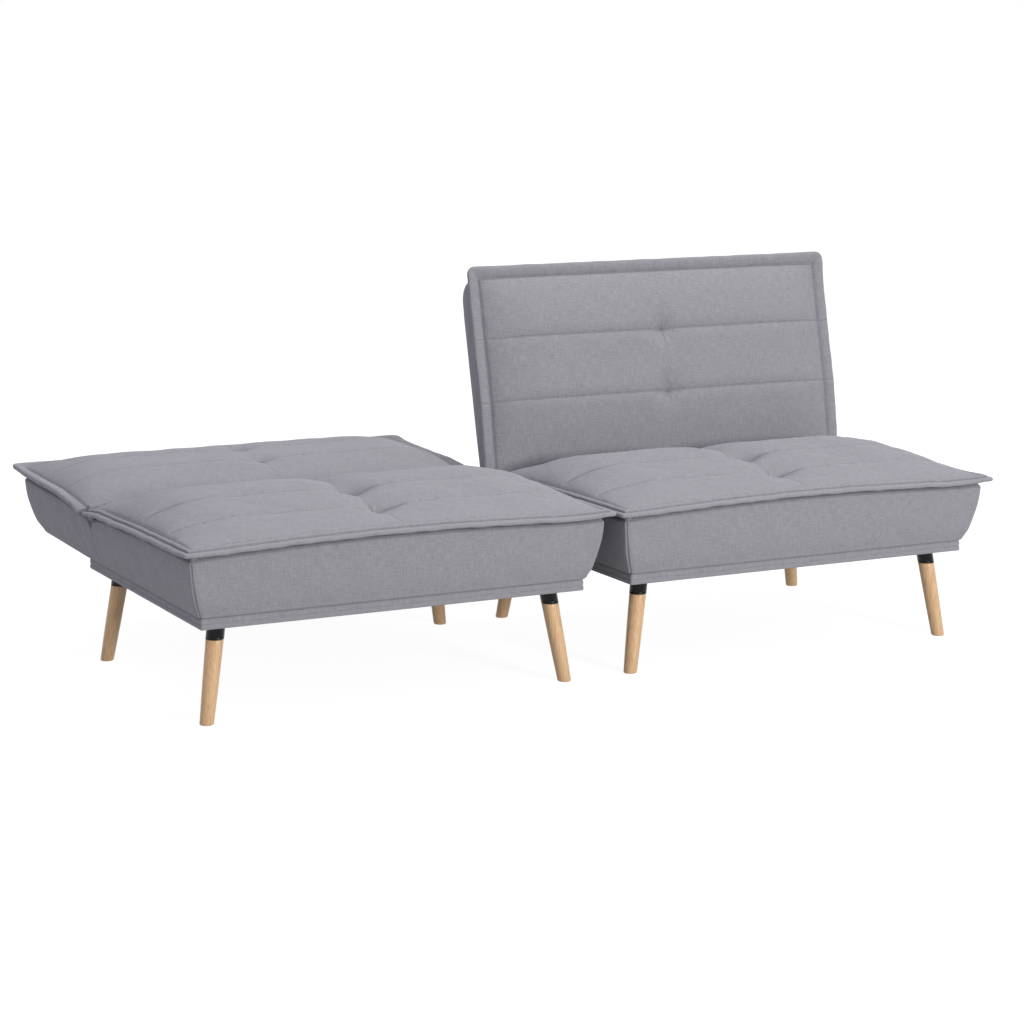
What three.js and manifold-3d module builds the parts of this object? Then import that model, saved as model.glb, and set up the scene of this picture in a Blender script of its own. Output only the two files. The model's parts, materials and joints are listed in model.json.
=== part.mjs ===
// Click clack sofa bed made of two armless halves that stand side by side.
// Millimetres, +Z up. X runs along the sofa, Y from its front edge to the far edge of a flat back.
// In this state the left back lies flat and the right back stands up.

import * as THREE from 'three';
import { mergeVertices } from 'three/addons/utils/BufferGeometryUtils.js';
import Module from 'manifold-3d';

const wasm = await Module();
wasm.setup();

// Driving sizes of one half
const halfWidth = 920;
const halfGap = 10;
const seatDepth = 610;
const backLength = 462;
const hingeHeight = 333;
const seatFlangeHeight = 355;
const backFlangeHeight = 357;
const backSwingDegrees = 75.5;
const unlatchDegrees = 6;

// Clearances
const touchGap = 0.3;
const jointWallGap = 2;
const sweepGap = 0.6;
const restMargin = 9;
const slotGap = 3.5;
const cutOverrun = 80;
const weldDistance = 0.0001;

// Quilted top panels
const flangeWidth = 20;
const flangeThickness = 6;
const flangeReachShares = [0.9, 1, 0.9, 0];
const flangeDropShares = [0.08, 0.5, 0.92, 1];
const flangeBow = 4;
const earRise = 6;
const earReach = 70;
const knuckleRadius = 15;
const crownStart = 15;
const halfCells = 10;

const seatPanel = {
  length: seatDepth,
  level: seatFlangeHeight,
  rows: [162, 303],
  rowCells: [5, 4, 7],
  crown: 50,
  sideReach: 170,
  freeReach: 380,
  freePower: 0.8,
  jointReach: 215,
  seamDepth: 5,
  seamReach: 26,
  tuftDepth: 19,
  tuftReach: 62,
};

const backPanel = {
  length: backLength,
  level: backFlangeHeight,
  rows: [160, 300],
  rowCells: [5, 4, 5],
  crown: 37,
  sideReach: 150,
  freeReach: 130,
  freePower: 0.6,
  jointReach: 170,
  seamDepth: 4,
  seamReach: 24,
  tuftDepth: 13,
  tuftReach: 55,
};
const sidePower = 0.6;

// Walls under the flange, from the flange edge inwards
const wallTopInset = 16;
const wallBottomInset = 46;
const farBottomInset = 100;
const wallCornerRadius = 14;
const coverThickness = 2;
const wallDropShares = [0, 0.25, 0.5, 0.75, 0.9, 1];
const wallInsetShares = [0, 0.07, 0.23, 0.5, 0.73, 1];
const farInsetShares = [0, 0.02, 0.08, 0.25, 0.5, 1];
const backUndersideRise = 21;

// Base frame and deck
const baseTop = 217;
const baseBoardThickness = 21;
const baseBoardWidth = 60;
const baseInset = 52;
const baseTail = 93;
const skirtThickness = 1.7;
const skirtHang = 2;
const deckThickness = 12;
const backBoardThickness = 12;
const backBoardStart = 8;
const backBoardEnd = 350;
const dustCoverThickness = 1;

// Legs: places are measured from the flange edge, the front edge and the base's rear end
const footInset = 72;
const frontFootPlace = 89;
const rearFootSetback = 27;
const sideSplay = 31;
const lengthSplay = 20;
const footRadius = 14;
const footChamfer = 1.5;
const legRadius = 17.5;
const tenonRadius = 13.5;
const tenonLength = 22;
const ferruleRadius = 18;
const ferruleLength = 30;
const legPlateWidth = 70;
const legPlateThickness = 3;
const finReach = 32;
const finLength = 88;
const finThickness = 4;
const finRootShare = 0.6;
const roundSides = 18;

// Hinges
const hingeInset = 54;
const hingePlateThickness = 4;
const hingeEyeRadius = 9.5;
const hingePinRadius = 4.5;
const pinHeadRadius = 8;
const pinHeadThickness = 2.5;
const basePlateLength = 105;
const basePlateShoulder = 34;
const basePlateWaist = 45;
const basePlateHeel = 22;
const basePlateSetback = 5;
const shankWidth = 12;
const shankLength = 30;
const tabWidth = 34;
const tabThickness = 3;
const sectorRadius = 40;
const ratchetStartDegrees = -186;
const ratchetEndDegrees = -91.5;
const notchDepth = 5;
const notchMouthDegrees = 7;
const notchFloorDegrees = 3.5;
const reclineDegrees = 38;
const pawlDegrees = -99.5;
const pawlDropDegrees = 9;
const pawlNoseRadius = 3;
const pawlRideGap = 0.6;
const pawlReach = 26;
const pawlOffset = 6;
const pawlEyeRadius = 8;
const pawlEyeStartDegrees = 50;
const pawlToothHeight = 5.5;
const pawlToothFlare = 0.6;
const pawlBarDepth = 9;
const pawlStudRadius = 4;
const armHubStartDegrees = 15;
const armBarTop = 2;
const armBarStart = 24;
const armBarEdge = 16.5;
const armBarCorner = 14;
const armBarDepth = 14;
const armTabStart = 64;
const armTabEnd = 180;
const arcSegments = 7;
const cornerSegments = 4;

// Places worked out from the sizes
const wholeWidth = 2 * halfWidth + halfGap;
const wholeDepth = seatDepth + backLength;
const baseRearEnd = seatDepth + baseTail;
const rearFootPlace = baseRearEnd - rearFootSetback;
const jointFlangeHeight = hingeHeight + knuckleRadius - flangeThickness / 2;
const skirtInset = baseInset - skirtThickness - touchGap;
const baseBottom = baseTop - baseBoardThickness;
const bodyBottom = baseTop + touchGap;
const deckTop = bodyBottom + deckThickness;
const restEdge = backLength - baseTail - restMargin;
const splayTop = baseBottom;
const armInset = hingeInset + hingePlateThickness + touchGap;

const radians = THREE.MathUtils.degToRad;
const lerp = THREE.MathUtils.lerp;
const clamp = THREE.MathUtils.clamp;

// Finishes
const finish = (color, roughness, metalness) =>
  new THREE.MeshStandardMaterial({ color, roughness, metalness });
const fabric = () => finish('#9a9aa0', 0.95, 0);
const foam = () => finish('#e6dfc8', 0.9, 0);
const plywood = () => finish('#c9a877', 0.7, 0);
const pine = () => finish('#d8bd8c', 0.7, 0);
const ash = () => finish('#d9b48a', 0.5, 0);
const blackSteel = () => finish('#121214', 0.25, 0.6);
const zincSteel = () => finish('#8c9094', 0.4, 0.9);
const blackCloth = () => finish('#1c1c1e', 0.95, 0);

// Solids
function welded(geometry) {
  const bare = geometry.clone();
  bare.deleteAttribute('normal');
  bare.deleteAttribute('uv');
  const merged = mergeVertices(bare, weldDistance);
  const index = Array.from(merged.index.array);
  const kept = [];
  for (let i = 0; i < index.length; i += 3) {
    const [a, b, c] = index.slice(i, i + 3);
    if (a !== b && b !== c && c !== a) kept.push(a, b, c);
  }
  merged.setIndex(kept);
  return faceOut(merged);
}

function faceOut(geometry) {
  const place = geometry.attributes.position;
  const index = Array.from(geometry.index.array);
  const [a, b, c] = [new THREE.Vector3(), new THREE.Vector3(), new THREE.Vector3()];
  let volume = 0;
  for (let i = 0; i < index.length; i += 3) {
    a.fromBufferAttribute(place, index[i]);
    b.fromBufferAttribute(place, index[i + 1]);
    c.fromBufferAttribute(place, index[i + 2]);
    volume += a.dot(b.cross(c));
  }
  if (volume < 0) geometry.setIndex(index.reverse());
  return geometry;
}

function toSolid(geometry) {
  const bare = welded(geometry);
  const vertProperties = new Float32Array(bare.attributes.position.array);
  const triVerts = new Uint32Array(bare.index.array);
  return new wasm.Manifold(new wasm.Mesh({ numProp: 3, vertProperties, triVerts }));
}

function toGeometry(solid) {
  const mesh = solid.getMesh();
  const geometry = new THREE.BufferGeometry();
  geometry.setAttribute('position', new THREE.BufferAttribute(mesh.vertProperties, mesh.numProp));
  geometry.setIndex(Array.from(mesh.triVerts));
  return geometry;
}

const join = (...pieces) => toGeometry(pieces.map(toSolid).reduce((whole, piece) => whole.add(piece)));
const cut = (piece, ...tools) =>
  toGeometry(tools.map(toSolid).reduce((whole, tool) => whole.subtract(tool), toSolid(piece)));

function box(low, high) {
  const size = high.map((value, i) => value - low[i]);
  const middle = high.map((value, i) => (value + low[i]) / 2);
  return new THREE.BoxGeometry(...size).translate(...middle);
}

// A flat outline in Y and Z, made solid from one X to another
function plate(shape, fromX, toX) {
  const geometry = new THREE.ExtrudeGeometry(shape, {
    depth: toX - fromX,
    bevelEnabled: false,
    curveSegments: arcSegments * 2,
  });
  const basis = new THREE.Matrix4().makeBasis(
    new THREE.Vector3(0, 1, 0), new THREE.Vector3(0, 0, 1), new THREE.Vector3(1, 0, 0));
  return geometry.applyMatrix4(basis).translate(fromX, 0, 0);
}

const outline = (points) => new THREE.Shape(points.map(([y, z]) => new THREE.Vector2(y, z)));

function rod(radius, fromX, toX, y, z) {
  const circle = new THREE.Shape().absarc(y, z, radius, 0, 2 * Math.PI);
  return plate(circle, fromX, toX);
}

function turned(profile) {
  const points = profile.map(([radius, along]) => new THREE.Vector2(radius, along));
  return new THREE.LatheGeometry(points, roundSides);
}

const polar = (radius, degrees) =>
  [radius * Math.cos(radians(degrees)), radius * Math.sin(radians(degrees))];

function arc(radius, fromDegrees, toDegrees) {
  const steps = Array.from({ length: arcSegments + 1 }, (_, i) => i / arcSegments);
  return steps.map((share) => polar(radius, lerp(fromDegrees, toDegrees, share)));
}

// Rings of points, each ring running out along one side and back along the other.
// A capped loft closes its first and last ring, a looped one joins them to each other.
function loft(rings, looped) {
  const count = rings[0].length;
  const positions = rings.flat().flatMap((point) => point.toArray());
  const index = [];
  const quad = (a, b, c, d) => index.push(a, b, c, a, c, d);
  const lastJoin = looped ? rings.length : rings.length - 1;
  for (let r = 0; r < lastJoin; r += 1) {
    const here = r * count;
    const next = ((r + 1) % rings.length) * count;
    for (let i = 0; i < count; i += 1) {
      const j = (i + 1) % count;
      quad(here + i, here + j, next + j, next + i);
    }
  }
  if (!looped) {
    const end = (rings.length - 1) * count;
    for (let i = 0; i < count / 2 - 1; i += 1) {
      const j = count - 1 - i;
      quad(i, j, j - 1, i + 1);
      quad(end + i, end + i + 1, end + j - 1, end + j);
    }
  }
  const geometry = new THREE.BufferGeometry();
  geometry.setAttribute('position', new THREE.Float32BufferAttribute(positions, 3));
  geometry.setIndex(index);
  return faceOut(geometry);
}

// Quilted panels. Across is measured from the side flange edge, along from the free flange edge
// to the joint with the other panel, so the seat and the back share one description.
function rise(distance, reach, power) {
  const share = clamp(distance / reach, 0, 1);
  return (1 - (1 - share) ** 2) ** power;
}

const dipShare = (panel, along) =>
  clamp((along - panel.rows[1]) / (panel.length - panel.rows[1]), 0, 1);

const flangeLevel = (panel, along) => lerp(panel.level, jointFlangeHeight, dipShare(panel, along));

const seamLevel = (panel, along) => flangeLevel(panel, along) + flangeThickness / 2;

const crease = (distance, reach) => Math.max(0, 1 - Math.abs(distance) / reach) ** 2;

function crown(panel, across, along) {
  const side = rise(across - flangeWidth, panel.sideReach, sidePower)
    * rise(halfWidth - flangeWidth - across, panel.sideReach, sidePower);
  const free = rise(along - flangeWidth, panel.freeReach, panel.freePower);
  const joint = rise(panel.length - along - crownStart, panel.jointReach, 1);
  const fromMiddle = across - halfWidth / 2;
  const seams = [crease(fromMiddle, panel.seamReach),
    ...panel.rows.map((row) => crease(along - row, panel.seamReach))];
  const tufts = panel.rows.map((row) => crease(Math.hypot(fromMiddle, along - row), panel.tuftReach));
  const sunk = panel.seamDepth * Math.max(...seams) + panel.tuftDepth * Math.max(...tufts);
  return side * free * joint * (panel.crown - sunk);
}

// Places between two ends that crowd towards both of them
function crowded(from, to, cells) {
  return Array.from({ length: cells }, (_, i) =>
    lerp(from, to, (1 - Math.cos((Math.PI * i) / cells)) / 2));
}

function stations(ends, cells) {
  const between = cells.flatMap((count, i) => crowded(ends[i], ends[i + 1], count));
  return [...between, ends[ends.length - 1]];
}

// How far a place on the stitch line belongs to one of the two pointed corners
function earShare(across, along) {
  const fromSide = Math.min(across, halfWidth - across) - flangeWidth;
  const fromCorner = Math.hypot(fromSide, along - flangeWidth);
  return Math.max(0, 1 - fromCorner / earReach) ** 2;
}

function quiltedPanel(panel) {
  const acrossPlaces = stations(
    [flangeWidth, halfWidth / 2, halfWidth - flangeWidth], [halfCells, halfCells]);
  const alongPlaces = stations([flangeWidth, ...panel.rows, panel.length], panel.rowCells);
  const [left, right] = [acrossPlaces[0], acrossPlaces[acrossPlaces.length - 1]];
  const free = alongPlaces[0];
  const points = [];
  const index = [];
  const add = (x, y, z) => points.push(x, y, z) / 3 - 1;
  const quad = (a, b, c, d) => index.push(a, b, c, a, c, d);

  const top = alongPlaces.map((along) => acrossPlaces.map((across) =>
    add(across, along, seamLevel(panel, along) + crown(panel, across, along))));
  for (let j = 0; j < top.length - 1; j += 1) {
    for (let i = 0; i < top[j].length - 1; i += 1) {
      quad(top[j][i], top[j][i + 1], top[j + 1][i + 1], top[j + 1][i]);
    }
  }

  // The stitch line runs down the left side, across the free edge and up the right side
  const rim = [
    ...alongPlaces.map((along) => [left, along]).reverse(),
    ...acrossPlaces.slice(1, -1).map((across) => [across, free]),
    ...alongPlaces.map((along) => [right, along]),
  ];
  const topRim = [
    ...top.map((row) => row[0]).reverse(),
    ...top[0].slice(1, -1),
    ...top.map((row) => row[row.length - 1]),
  ];
  const flangeLoop = (reachShare, dropShare) => rim.map(([across, along]) => {
    const ear = earShare(across, along);
    const reach = reachShare * (flangeWidth - flangeBow * (1 - ear));
    const lift = Math.sign(reachShare) * earRise * ear;
    const outAcross = Math.sign(Number(across === right) - Number(across === left));
    const outAlong = -Number(along === free);
    const level = seamLevel(panel, along) - flangeThickness * dropShare + lift;
    return add(across + outAcross * reach, along + outAlong * reach, level);
  });
  const loops = [topRim, ...flangeReachShares.map((share, i) => flangeLoop(share, flangeDropShares[i]))];
  const last = rim.length - 1;
  for (let k = 0; k < loops.length - 1; k += 1) {
    for (let i = 0; i < last; i += 1) {
      quad(loops[k][i + 1], loops[k][i], loops[k + 1][i], loops[k + 1][i + 1]);
    }
  }

  // Underside: strips from side to side, then a fan to the free edge
  const under = loops[loops.length - 1];
  const rows = alongPlaces.length;
  for (let i = 0; i < rows - 2; i += 1) {
    quad(under[i + 1], under[i], under[last - i], under[last - i - 1]);
  }
  for (let i = rows - 1; i < last - rows + 2; i += 1) {
    index.push(under[rows - 2], under[i + 1], under[i]);
  }

  // Edge at the joint, as a fan from its lower left corner
  const sideLoops = loops.slice(1, -1);
  const edge = [
    ...sideLoops.map((loop) => loop[0]).reverse(),
    ...top[top.length - 1],
    ...sideLoops.map((loop) => loop[last]),
    under[last],
  ];
  for (let i = 0; i < edge.length - 1; i += 1) index.push(under[0], edge[i], edge[i + 1]);

  const geometry = new THREE.BufferGeometry();
  geometry.setAttribute('position', new THREE.Float32BufferAttribute(points, 3));
  geometry.setIndex(index);
  return faceOut(geometry);
}

// Bodies under the panels: their top follows the panel, their bottom follows a line of its own
const seatBody = {
  panel: seatPanel,
  breaks: [seatPanel.rows[1]],
  freeShares: wallInsetShares,
  freeBottomInset: wallBottomInset,
  jointInset: jointWallGap,
  bottom: () => bodyBottom,
  floor: () => bodyBottom,
};

const backBody = {
  panel: backPanel,
  breaks: [restEdge, backPanel.rows[1]],
  freeShares: farInsetShares,
  freeBottomInset: farBottomInset,
  jointInset: sweepGap,
  bottom: (along) => bodyBottom + backUndersideRise * Math.max(0, 1 - along / restEdge),
  floor: (along) => backBody.bottom(along) + coverThickness,
};

const bodyTop = (body, along) => flangeLevel(body.panel, along) - flangeThickness / 2 - touchGap;

function insetAt(drop, shares, bottomInset) {
  const step = wallDropShares.findIndex((share) => share >= drop);
  const before = Math.max(step - 1, 0);
  const span = wallDropShares[step] - wallDropShares[before] || 1;
  const share = lerp(shares[before], shares[step], (drop - wallDropShares[before]) / span);
  return lerp(wallTopInset, bottomInset, share);
}

// One ring of a body's wall: drop is 0 under the flange and 1 at the bottom edge
function wallRing(body, drop, inside, level) {
  const side = insetAt(drop, wallInsetShares, wallBottomInset) + inside;
  const free = insetAt(drop, body.freeShares, body.freeBottomInset) + inside;
  const radius = wallCornerRadius - inside;
  const steps = Array.from({ length: cornerSegments + 1 }, (_, i) => i / cornerSegments);
  const corner = steps.map((share) => polar(radius, lerp(180, 270, share)));
  const leftPlaces = [
    [side, body.panel.length - body.jointInset - inside],
    ...body.breaks.map((along) => [side, along]),
    ...corner.map(([x, y]) => [side + radius + x, free + radius + y]),
  ];
  const rightPlaces = leftPlaces.map(([across, along]) => [halfWidth - across, along]).reverse();
  return [...leftPlaces, ...rightPlaces].map(([across, along]) =>
    new THREE.Vector3(across, along, level(along)));
}

function wallRings(body, drops, inside, bottom) {
  return drops.map((drop) => wallRing(body, drop, inside, (along) =>
    lerp(bodyTop(body, along), bottom(along), drop)));
}

// The cover of a body's walls: a ring that is open below, or a tray with a floor
function skin(body, open) {
  const outer = wallRings(body, wallDropShares, 0, body.bottom);
  const inner = wallRings(body, wallDropShares, coverThickness, body.floor);
  return loft([...inner.reverse(), ...outer], open);
}

function filling(body, bottom) {
  const ends = [body.jointInset, body.panel.length];
  const dropTo = (along) => {
    const top = bodyTop(body, along);
    return (top - bottom(along)) / (top - body.floor(along));
  };
  const lowest = Math.max(...[...ends, ...body.breaks].map(dropTo));
  const inside = coverThickness + touchGap;
  const drops = wallDropShares.filter((share) => share < lowest - wallDropShares[1] / 2);
  const rings = wallRings(body, drops, inside, body.floor);
  return loft([wallRing(body, lowest, inside, bottom), ...rings.reverse()], false);
}

// Hinge places, measured from the hinge axis with the back flat
const boardBottomStart = bodyBottom + coverThickness + touchGap;
const boardBottomEnd = backBody.bottom(backLength - backBoardEnd) + coverThickness + touchGap;
const boardBottom = (fromHinge) => lerp(boardBottomStart, boardBottomEnd,
  (fromHinge - backBoardStart) / (backBoardEnd - backBoardStart)) - hingeHeight;
const boardTop = (fromHinge) => boardBottom(fromHinge) + backBoardThickness;

const pawlNose = new THREE.Vector2(...polar(sectorRadius + pawlRideGap + pawlNoseRadius, pawlDegrees));
const pawlPivot = pawlNose.clone()
  .add(new THREE.Vector2(...polar(pawlReach, pawlDegrees - 90)))
  .add(new THREE.Vector2(...polar(pawlOffset, pawlDegrees)));
const droppedNose = pawlNose.clone().rotateAround(pawlPivot, radians(pawlDropDegrees));
const notchDegrees = THREE.MathUtils.radToDeg(Math.atan2(droppedNose.y, droppedNose.x));

const slotLow = hingeInset - slotGap;
const slotHigh = armInset + hingePlateThickness + slotGap;

const toHinge = (geometry) => geometry.translate(0, seatDepth, hingeHeight);
const fromHinge = (geometry) => geometry.translate(0, -seatDepth, -hingeHeight);

// A piece drawn for one side of a half, or its mirror image for the other side
function onSide(inner, geometry) {
  return welded(inner ? geometry.scale(-1, 1, 1).translate(halfWidth, 0, 0) : geometry);
}

const bothSides = (make) => [onSide(false, make()), onSide(true, make())];

// A back piece is drawn from its free edge like the seat, then turned round to meet the seat
function backPlaced(geometry) {
  return welded(fromHinge(geometry.scale(1, -1, 1).translate(0, wholeDepth, 0)));
}

// Everything behind the face of a back that is pushed past upright
function backSweep() {
  const radius = knuckleRadius + sweepGap;
  const faceRun = backPanel.length - backPanel.rows[1];
  const faceSlope = Math.atan2(backPanel.level - jointFlangeHeight, faceRun);
  const highest = backSwingDegrees + unlatchDegrees + THREE.MathUtils.radToDeg(faceSlope);
  const [touchY, touchZ] = polar(radius, highest + 90);
  const [upY, upZ] = polar(cutOverrun, highest);
  const shape = outline([
    [touchY + upY, touchZ + upZ],
    ...arc(radius, highest + 90, 270),
    [cutOverrun, -radius],
    [cutOverrun, touchZ + upZ],
  ]);
  return toHinge(plate(shape, -cutOverrun, halfWidth + cutOverrun));
}

const seatQuilt = () => cut(quiltedPanel(seatPanel), backSweep());

function hingeSlot() {
  const around = hingeEyeRadius + sweepGap;
  const underFlange = knuckleRadius - flangeThickness - touchGap;
  return [
    rod(around, slotLow, slotHigh, 0, 0),
    box([slotLow, -cutOverrun, -cutOverrun], [slotHigh, 0, around]),
    box([slotLow, -touchGap, -cutOverrun], [slotHigh, cutOverrun, underFlange]),
  ];
}

function backQuilt() {
  const panel = backPlaced(quiltedPanel(backPanel));
  const roll = rod(knuckleRadius, wallTopInset + coverThickness,
    halfWidth - wallTopInset - coverThickness, 0, 0);
  const slots = bothSides(() => join(...hingeSlot()));
  return cut(join(panel, roll), ...slots);
}

const knuckleHollow = () =>
  rod(knuckleRadius + touchGap, -cutOverrun, halfWidth + cutOverrun, 0, 0);

function seatBorder() {
  const slotBottom = hingeHeight + pawlPivot.y - pawlEyeRadius - slotGap;
  const slot = () => box([slotLow, seatDepth - cutOverrun / 2, slotBottom],
    [slotHigh, seatDepth + cutOverrun, hingeHeight + cutOverrun]);
  return cut(skin(seatBody, true), backSweep(), ...bothSides(slot));
}

function seatFoam() {
  const pocket = () => box([slotLow, seatDepth - basePlateLength - slotGap, 0],
    [slotHigh, seatDepth + cutOverrun, hingeHeight + cutOverrun]);
  const block = filling(seatBody, () => deckTop + touchGap);
  return cut(block, backSweep(), ...bothSides(pocket));
}

function seatDeck() {
  const board = box([baseInset, baseInset, bodyBottom],
    [halfWidth - baseInset, seatDepth - jointWallGap - coverThickness - touchGap, deckTop]);
  const notch = () => box([0, seatDepth - basePlateLength - slotGap, 0],
    [hingeInset + hingePlateThickness + tabWidth + slotGap, seatDepth + cutOverrun, deckTop + cutOverrun]);
  return cut(board, ...bothSides(notch));
}

function backShell() {
  const slot = () => box([armInset - touchGap, -cutOverrun, -armBarEdge - slotGap],
    [armInset + hingePlateThickness + touchGap, armBarStart, cutOverrun]);
  return cut(backPlaced(skin(backBody, false)), knuckleHollow(), ...bothSides(slot));
}

function backFoam() {
  const block = filling(backBody, (along) =>
    boardTop(backLength - along) + hingeHeight + touchGap);
  const armSlot = () => box([armInset - touchGap, -cutOverrun, -hingeHeight],
    [armInset + hingePlateThickness + touchGap, armTabEnd + sweepGap, armBarTop + sweepGap]);
  const tabSlot = () => plate(outline([
    [armTabStart - sweepGap, boardTop(armTabStart) - tabThickness],
    [armTabEnd + sweepGap, boardTop(armTabEnd) - tabThickness],
    [armTabEnd + sweepGap, boardTop(armTabEnd) + tabThickness + sweepGap],
    [armTabStart - sweepGap, boardTop(armTabStart) + tabThickness + sweepGap],
  ]), armInset, armInset + tabWidth + sweepGap);
  return cut(backPlaced(block), knuckleHollow(), ...bothSides(armSlot), ...bothSides(tabSlot));
}

function backBoard() {
  const side = wallBottomInset + coverThickness + touchGap;
  const shape = outline([
    [backBoardStart, boardBottom(backBoardStart)],
    [backBoardEnd, boardBottom(backBoardEnd)],
    [backBoardEnd, boardTop(backBoardEnd)],
    [backBoardStart, boardTop(backBoardStart)],
  ]);
  return plate(shape, side, halfWidth - side);
}

// Hinge pieces, around the hinge axis
const hingeHole = () => rod(hingePinRadius + touchGap, 0, halfWidth, 0, 0);

function hingeBase() {
  const floor = baseTop + touchGap - hingeHeight;
  const eyeStart = -180 + THREE.MathUtils.radToDeg(Math.acos(basePlateSetback / hingeEyeRadius));
  const shape = outline([
    ...arc(hingeEyeRadius, eyeStart, 180),
    [-shankWidth, -shankLength],
    [pawlPivot.x - pawlEyeRadius, -basePlateShoulder],
    [pawlPivot.x - pawlEyeRadius, -basePlateShoulder - basePlateWaist / 2],
    [-basePlateLength, floor + basePlateHeel],
    [-basePlateLength, floor],
    [-basePlateSetback, floor],
  ]);
  const web = plate(shape, hingeInset, hingeInset + hingePlateThickness);
  const tab = box([hingeInset, -basePlateLength, floor],
    [hingeInset + hingePlateThickness + tabWidth, -basePlateSetback, floor + tabThickness]);
  const stud = rod(pawlStudRadius, hingeInset, armInset + hingePlateThickness + touchGap,
    pawlPivot.x, pawlPivot.y);
  return cut(join(web, tab, stud), hingeHole());
}

function ratchetRim() {
  const notches = [backSwingDegrees, reclineDegrees, 0].map((swing) => notchDegrees - swing);
  const points = [];
  let from = ratchetStartDegrees;
  for (const notch of notches) {
    points.push(...arc(sectorRadius, from, notch - notchMouthDegrees));
    points.push(polar(sectorRadius - notchDepth, notch - notchFloorDegrees));
    points.push(polar(sectorRadius - notchDepth, notch + notchFloorDegrees));
    from = notch + notchMouthDegrees;
  }
  return [...points, ...arc(sectorRadius, from, ratchetEndDegrees)];
}

function hingeArm() {
  const tabBottom = (along) => boardTop(along) + touchGap;
  const shape = outline([
    [armTabEnd, tabBottom(armTabEnd) + armBarDepth],
    [armTabStart + armBarDepth, tabBottom(armTabStart) + armBarDepth],
    [armBarStart, armBarTop],
    ...arc(hingeEyeRadius, armHubStartDegrees, 180),
    ...ratchetRim(),
    [polar(sectorRadius, ratchetEndDegrees)[0], -armBarEdge],
    [armBarCorner, -armBarEdge],
    [armTabStart, tabBottom(armTabStart)],
    [armTabEnd, tabBottom(armTabEnd)],
  ]);
  const web = plate(shape, armInset, armInset + hingePlateThickness);
  const tab = plate(outline([
    [armTabStart, tabBottom(armTabStart)],
    [armTabEnd, tabBottom(armTabEnd)],
    [armTabEnd, tabBottom(armTabEnd) + tabThickness],
    [armTabStart, tabBottom(armTabStart) + tabThickness],
  ]), armInset, armInset + tabWidth);
  return cut(join(web, tab), hingeHole());
}

function hingePin() {
  const start = hingeInset - touchGap - pinHeadThickness;
  const end = armInset + hingePlateThickness + touchGap + pinHeadThickness;
  const pin = turned([
    [0, start],
    [pinHeadRadius, start],
    [pinHeadRadius, start + pinHeadThickness],
    [hingePinRadius, start + pinHeadThickness],
    [hingePinRadius, end - pinHeadThickness],
    [pinHeadRadius, end - pinHeadThickness],
    [pinHeadRadius, end],
    [0, end],
  ]);
  return welded(pin.rotateZ(-Math.PI / 2));
}

function hingePawl() {
  const lever = pawlNose.clone().sub(pawlPivot);
  const reach = lever.length();
  const turn = lever.angle();
  const eye = arc(pawlEyeRadius, pawlEyeStartDegrees, 270);
  const nose = arc(pawlNoseRadius, 0, 180).map(([y, z]) => [reach + y, z]);
  const shape = outline([
    ...eye,
    [reach + pawlNoseRadius, -pawlBarDepth],
    ...nose,
    [reach - pawlNoseRadius - pawlToothFlare, -pawlToothHeight],
  ]);
  const body = plate(shape, armInset, armInset + hingePlateThickness);
  const hole = rod(pawlStudRadius + touchGap, 0, halfWidth, 0, 0);
  return cut(body, hole).rotateX(turn).translate(0, pawlPivot.x, pawlPivot.y);
}

// Base frame
function frontRail() {
  return box([baseInset, baseInset, baseBottom],
    [halfWidth - baseInset, baseInset + baseBoardWidth, baseTop]);
}

function rearRail() {
  return box([baseInset, baseRearEnd - baseBoardWidth, baseBottom],
    [halfWidth - baseInset, baseRearEnd, baseTop]);
}

function sideRail() {
  return box([baseInset, baseInset + baseBoardWidth + touchGap, baseBottom],
    [baseInset + baseBoardWidth, baseRearEnd - baseBoardWidth - touchGap, baseTop]);
}

function baseSkirt() {
  const outer = [skirtInset, baseRearEnd + skirtThickness + touchGap];
  const inner = [skirtInset + skirtThickness, baseRearEnd + touchGap];
  const around = ([inset, end], low, high) => box([inset, inset, low], [halfWidth - inset, end, high]);
  const hem = baseBottom - skirtHang;
  return cut(around(outer, hem, baseTop - touchGap), around(inner, 0, baseTop + cutOverrun));
}

const footPlace = (rear) => (rear ? rearFootPlace : frontFootPlace);

// Where a leg's middle line lies at some height, and how it leans
function lean(rear, geometry) {
  const acrossPerHeight = sideSplay / splayTop;
  const alongPerHeight = (rear ? -lengthSplay : lengthSplay) / splayTop;
  const shear = new THREE.Matrix4().makeShear(0, 0, 0, 0, acrossPerHeight, alongPerHeight);
  return geometry.applyMatrix4(shear).translate(footInset, footPlace(rear), 0);
}

const legPlateTop = baseBottom - touchGap;
const ferruleTop = legPlateTop - legPlateThickness;
const ferruleBottom = ferruleTop - ferruleLength;

function leg(rear) {
  const shoulder = ferruleBottom - touchGap;
  const post = turned([
    [0, 0],
    [footRadius - footChamfer, 0],
    [footRadius, footChamfer],
    [legRadius, shoulder],
    [tenonRadius, shoulder],
    [tenonRadius, shoulder + tenonLength],
    [0, shoulder + tenonLength],
  ]);
  return lean(rear, welded(post.rotateX(Math.PI / 2)));
}

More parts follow.
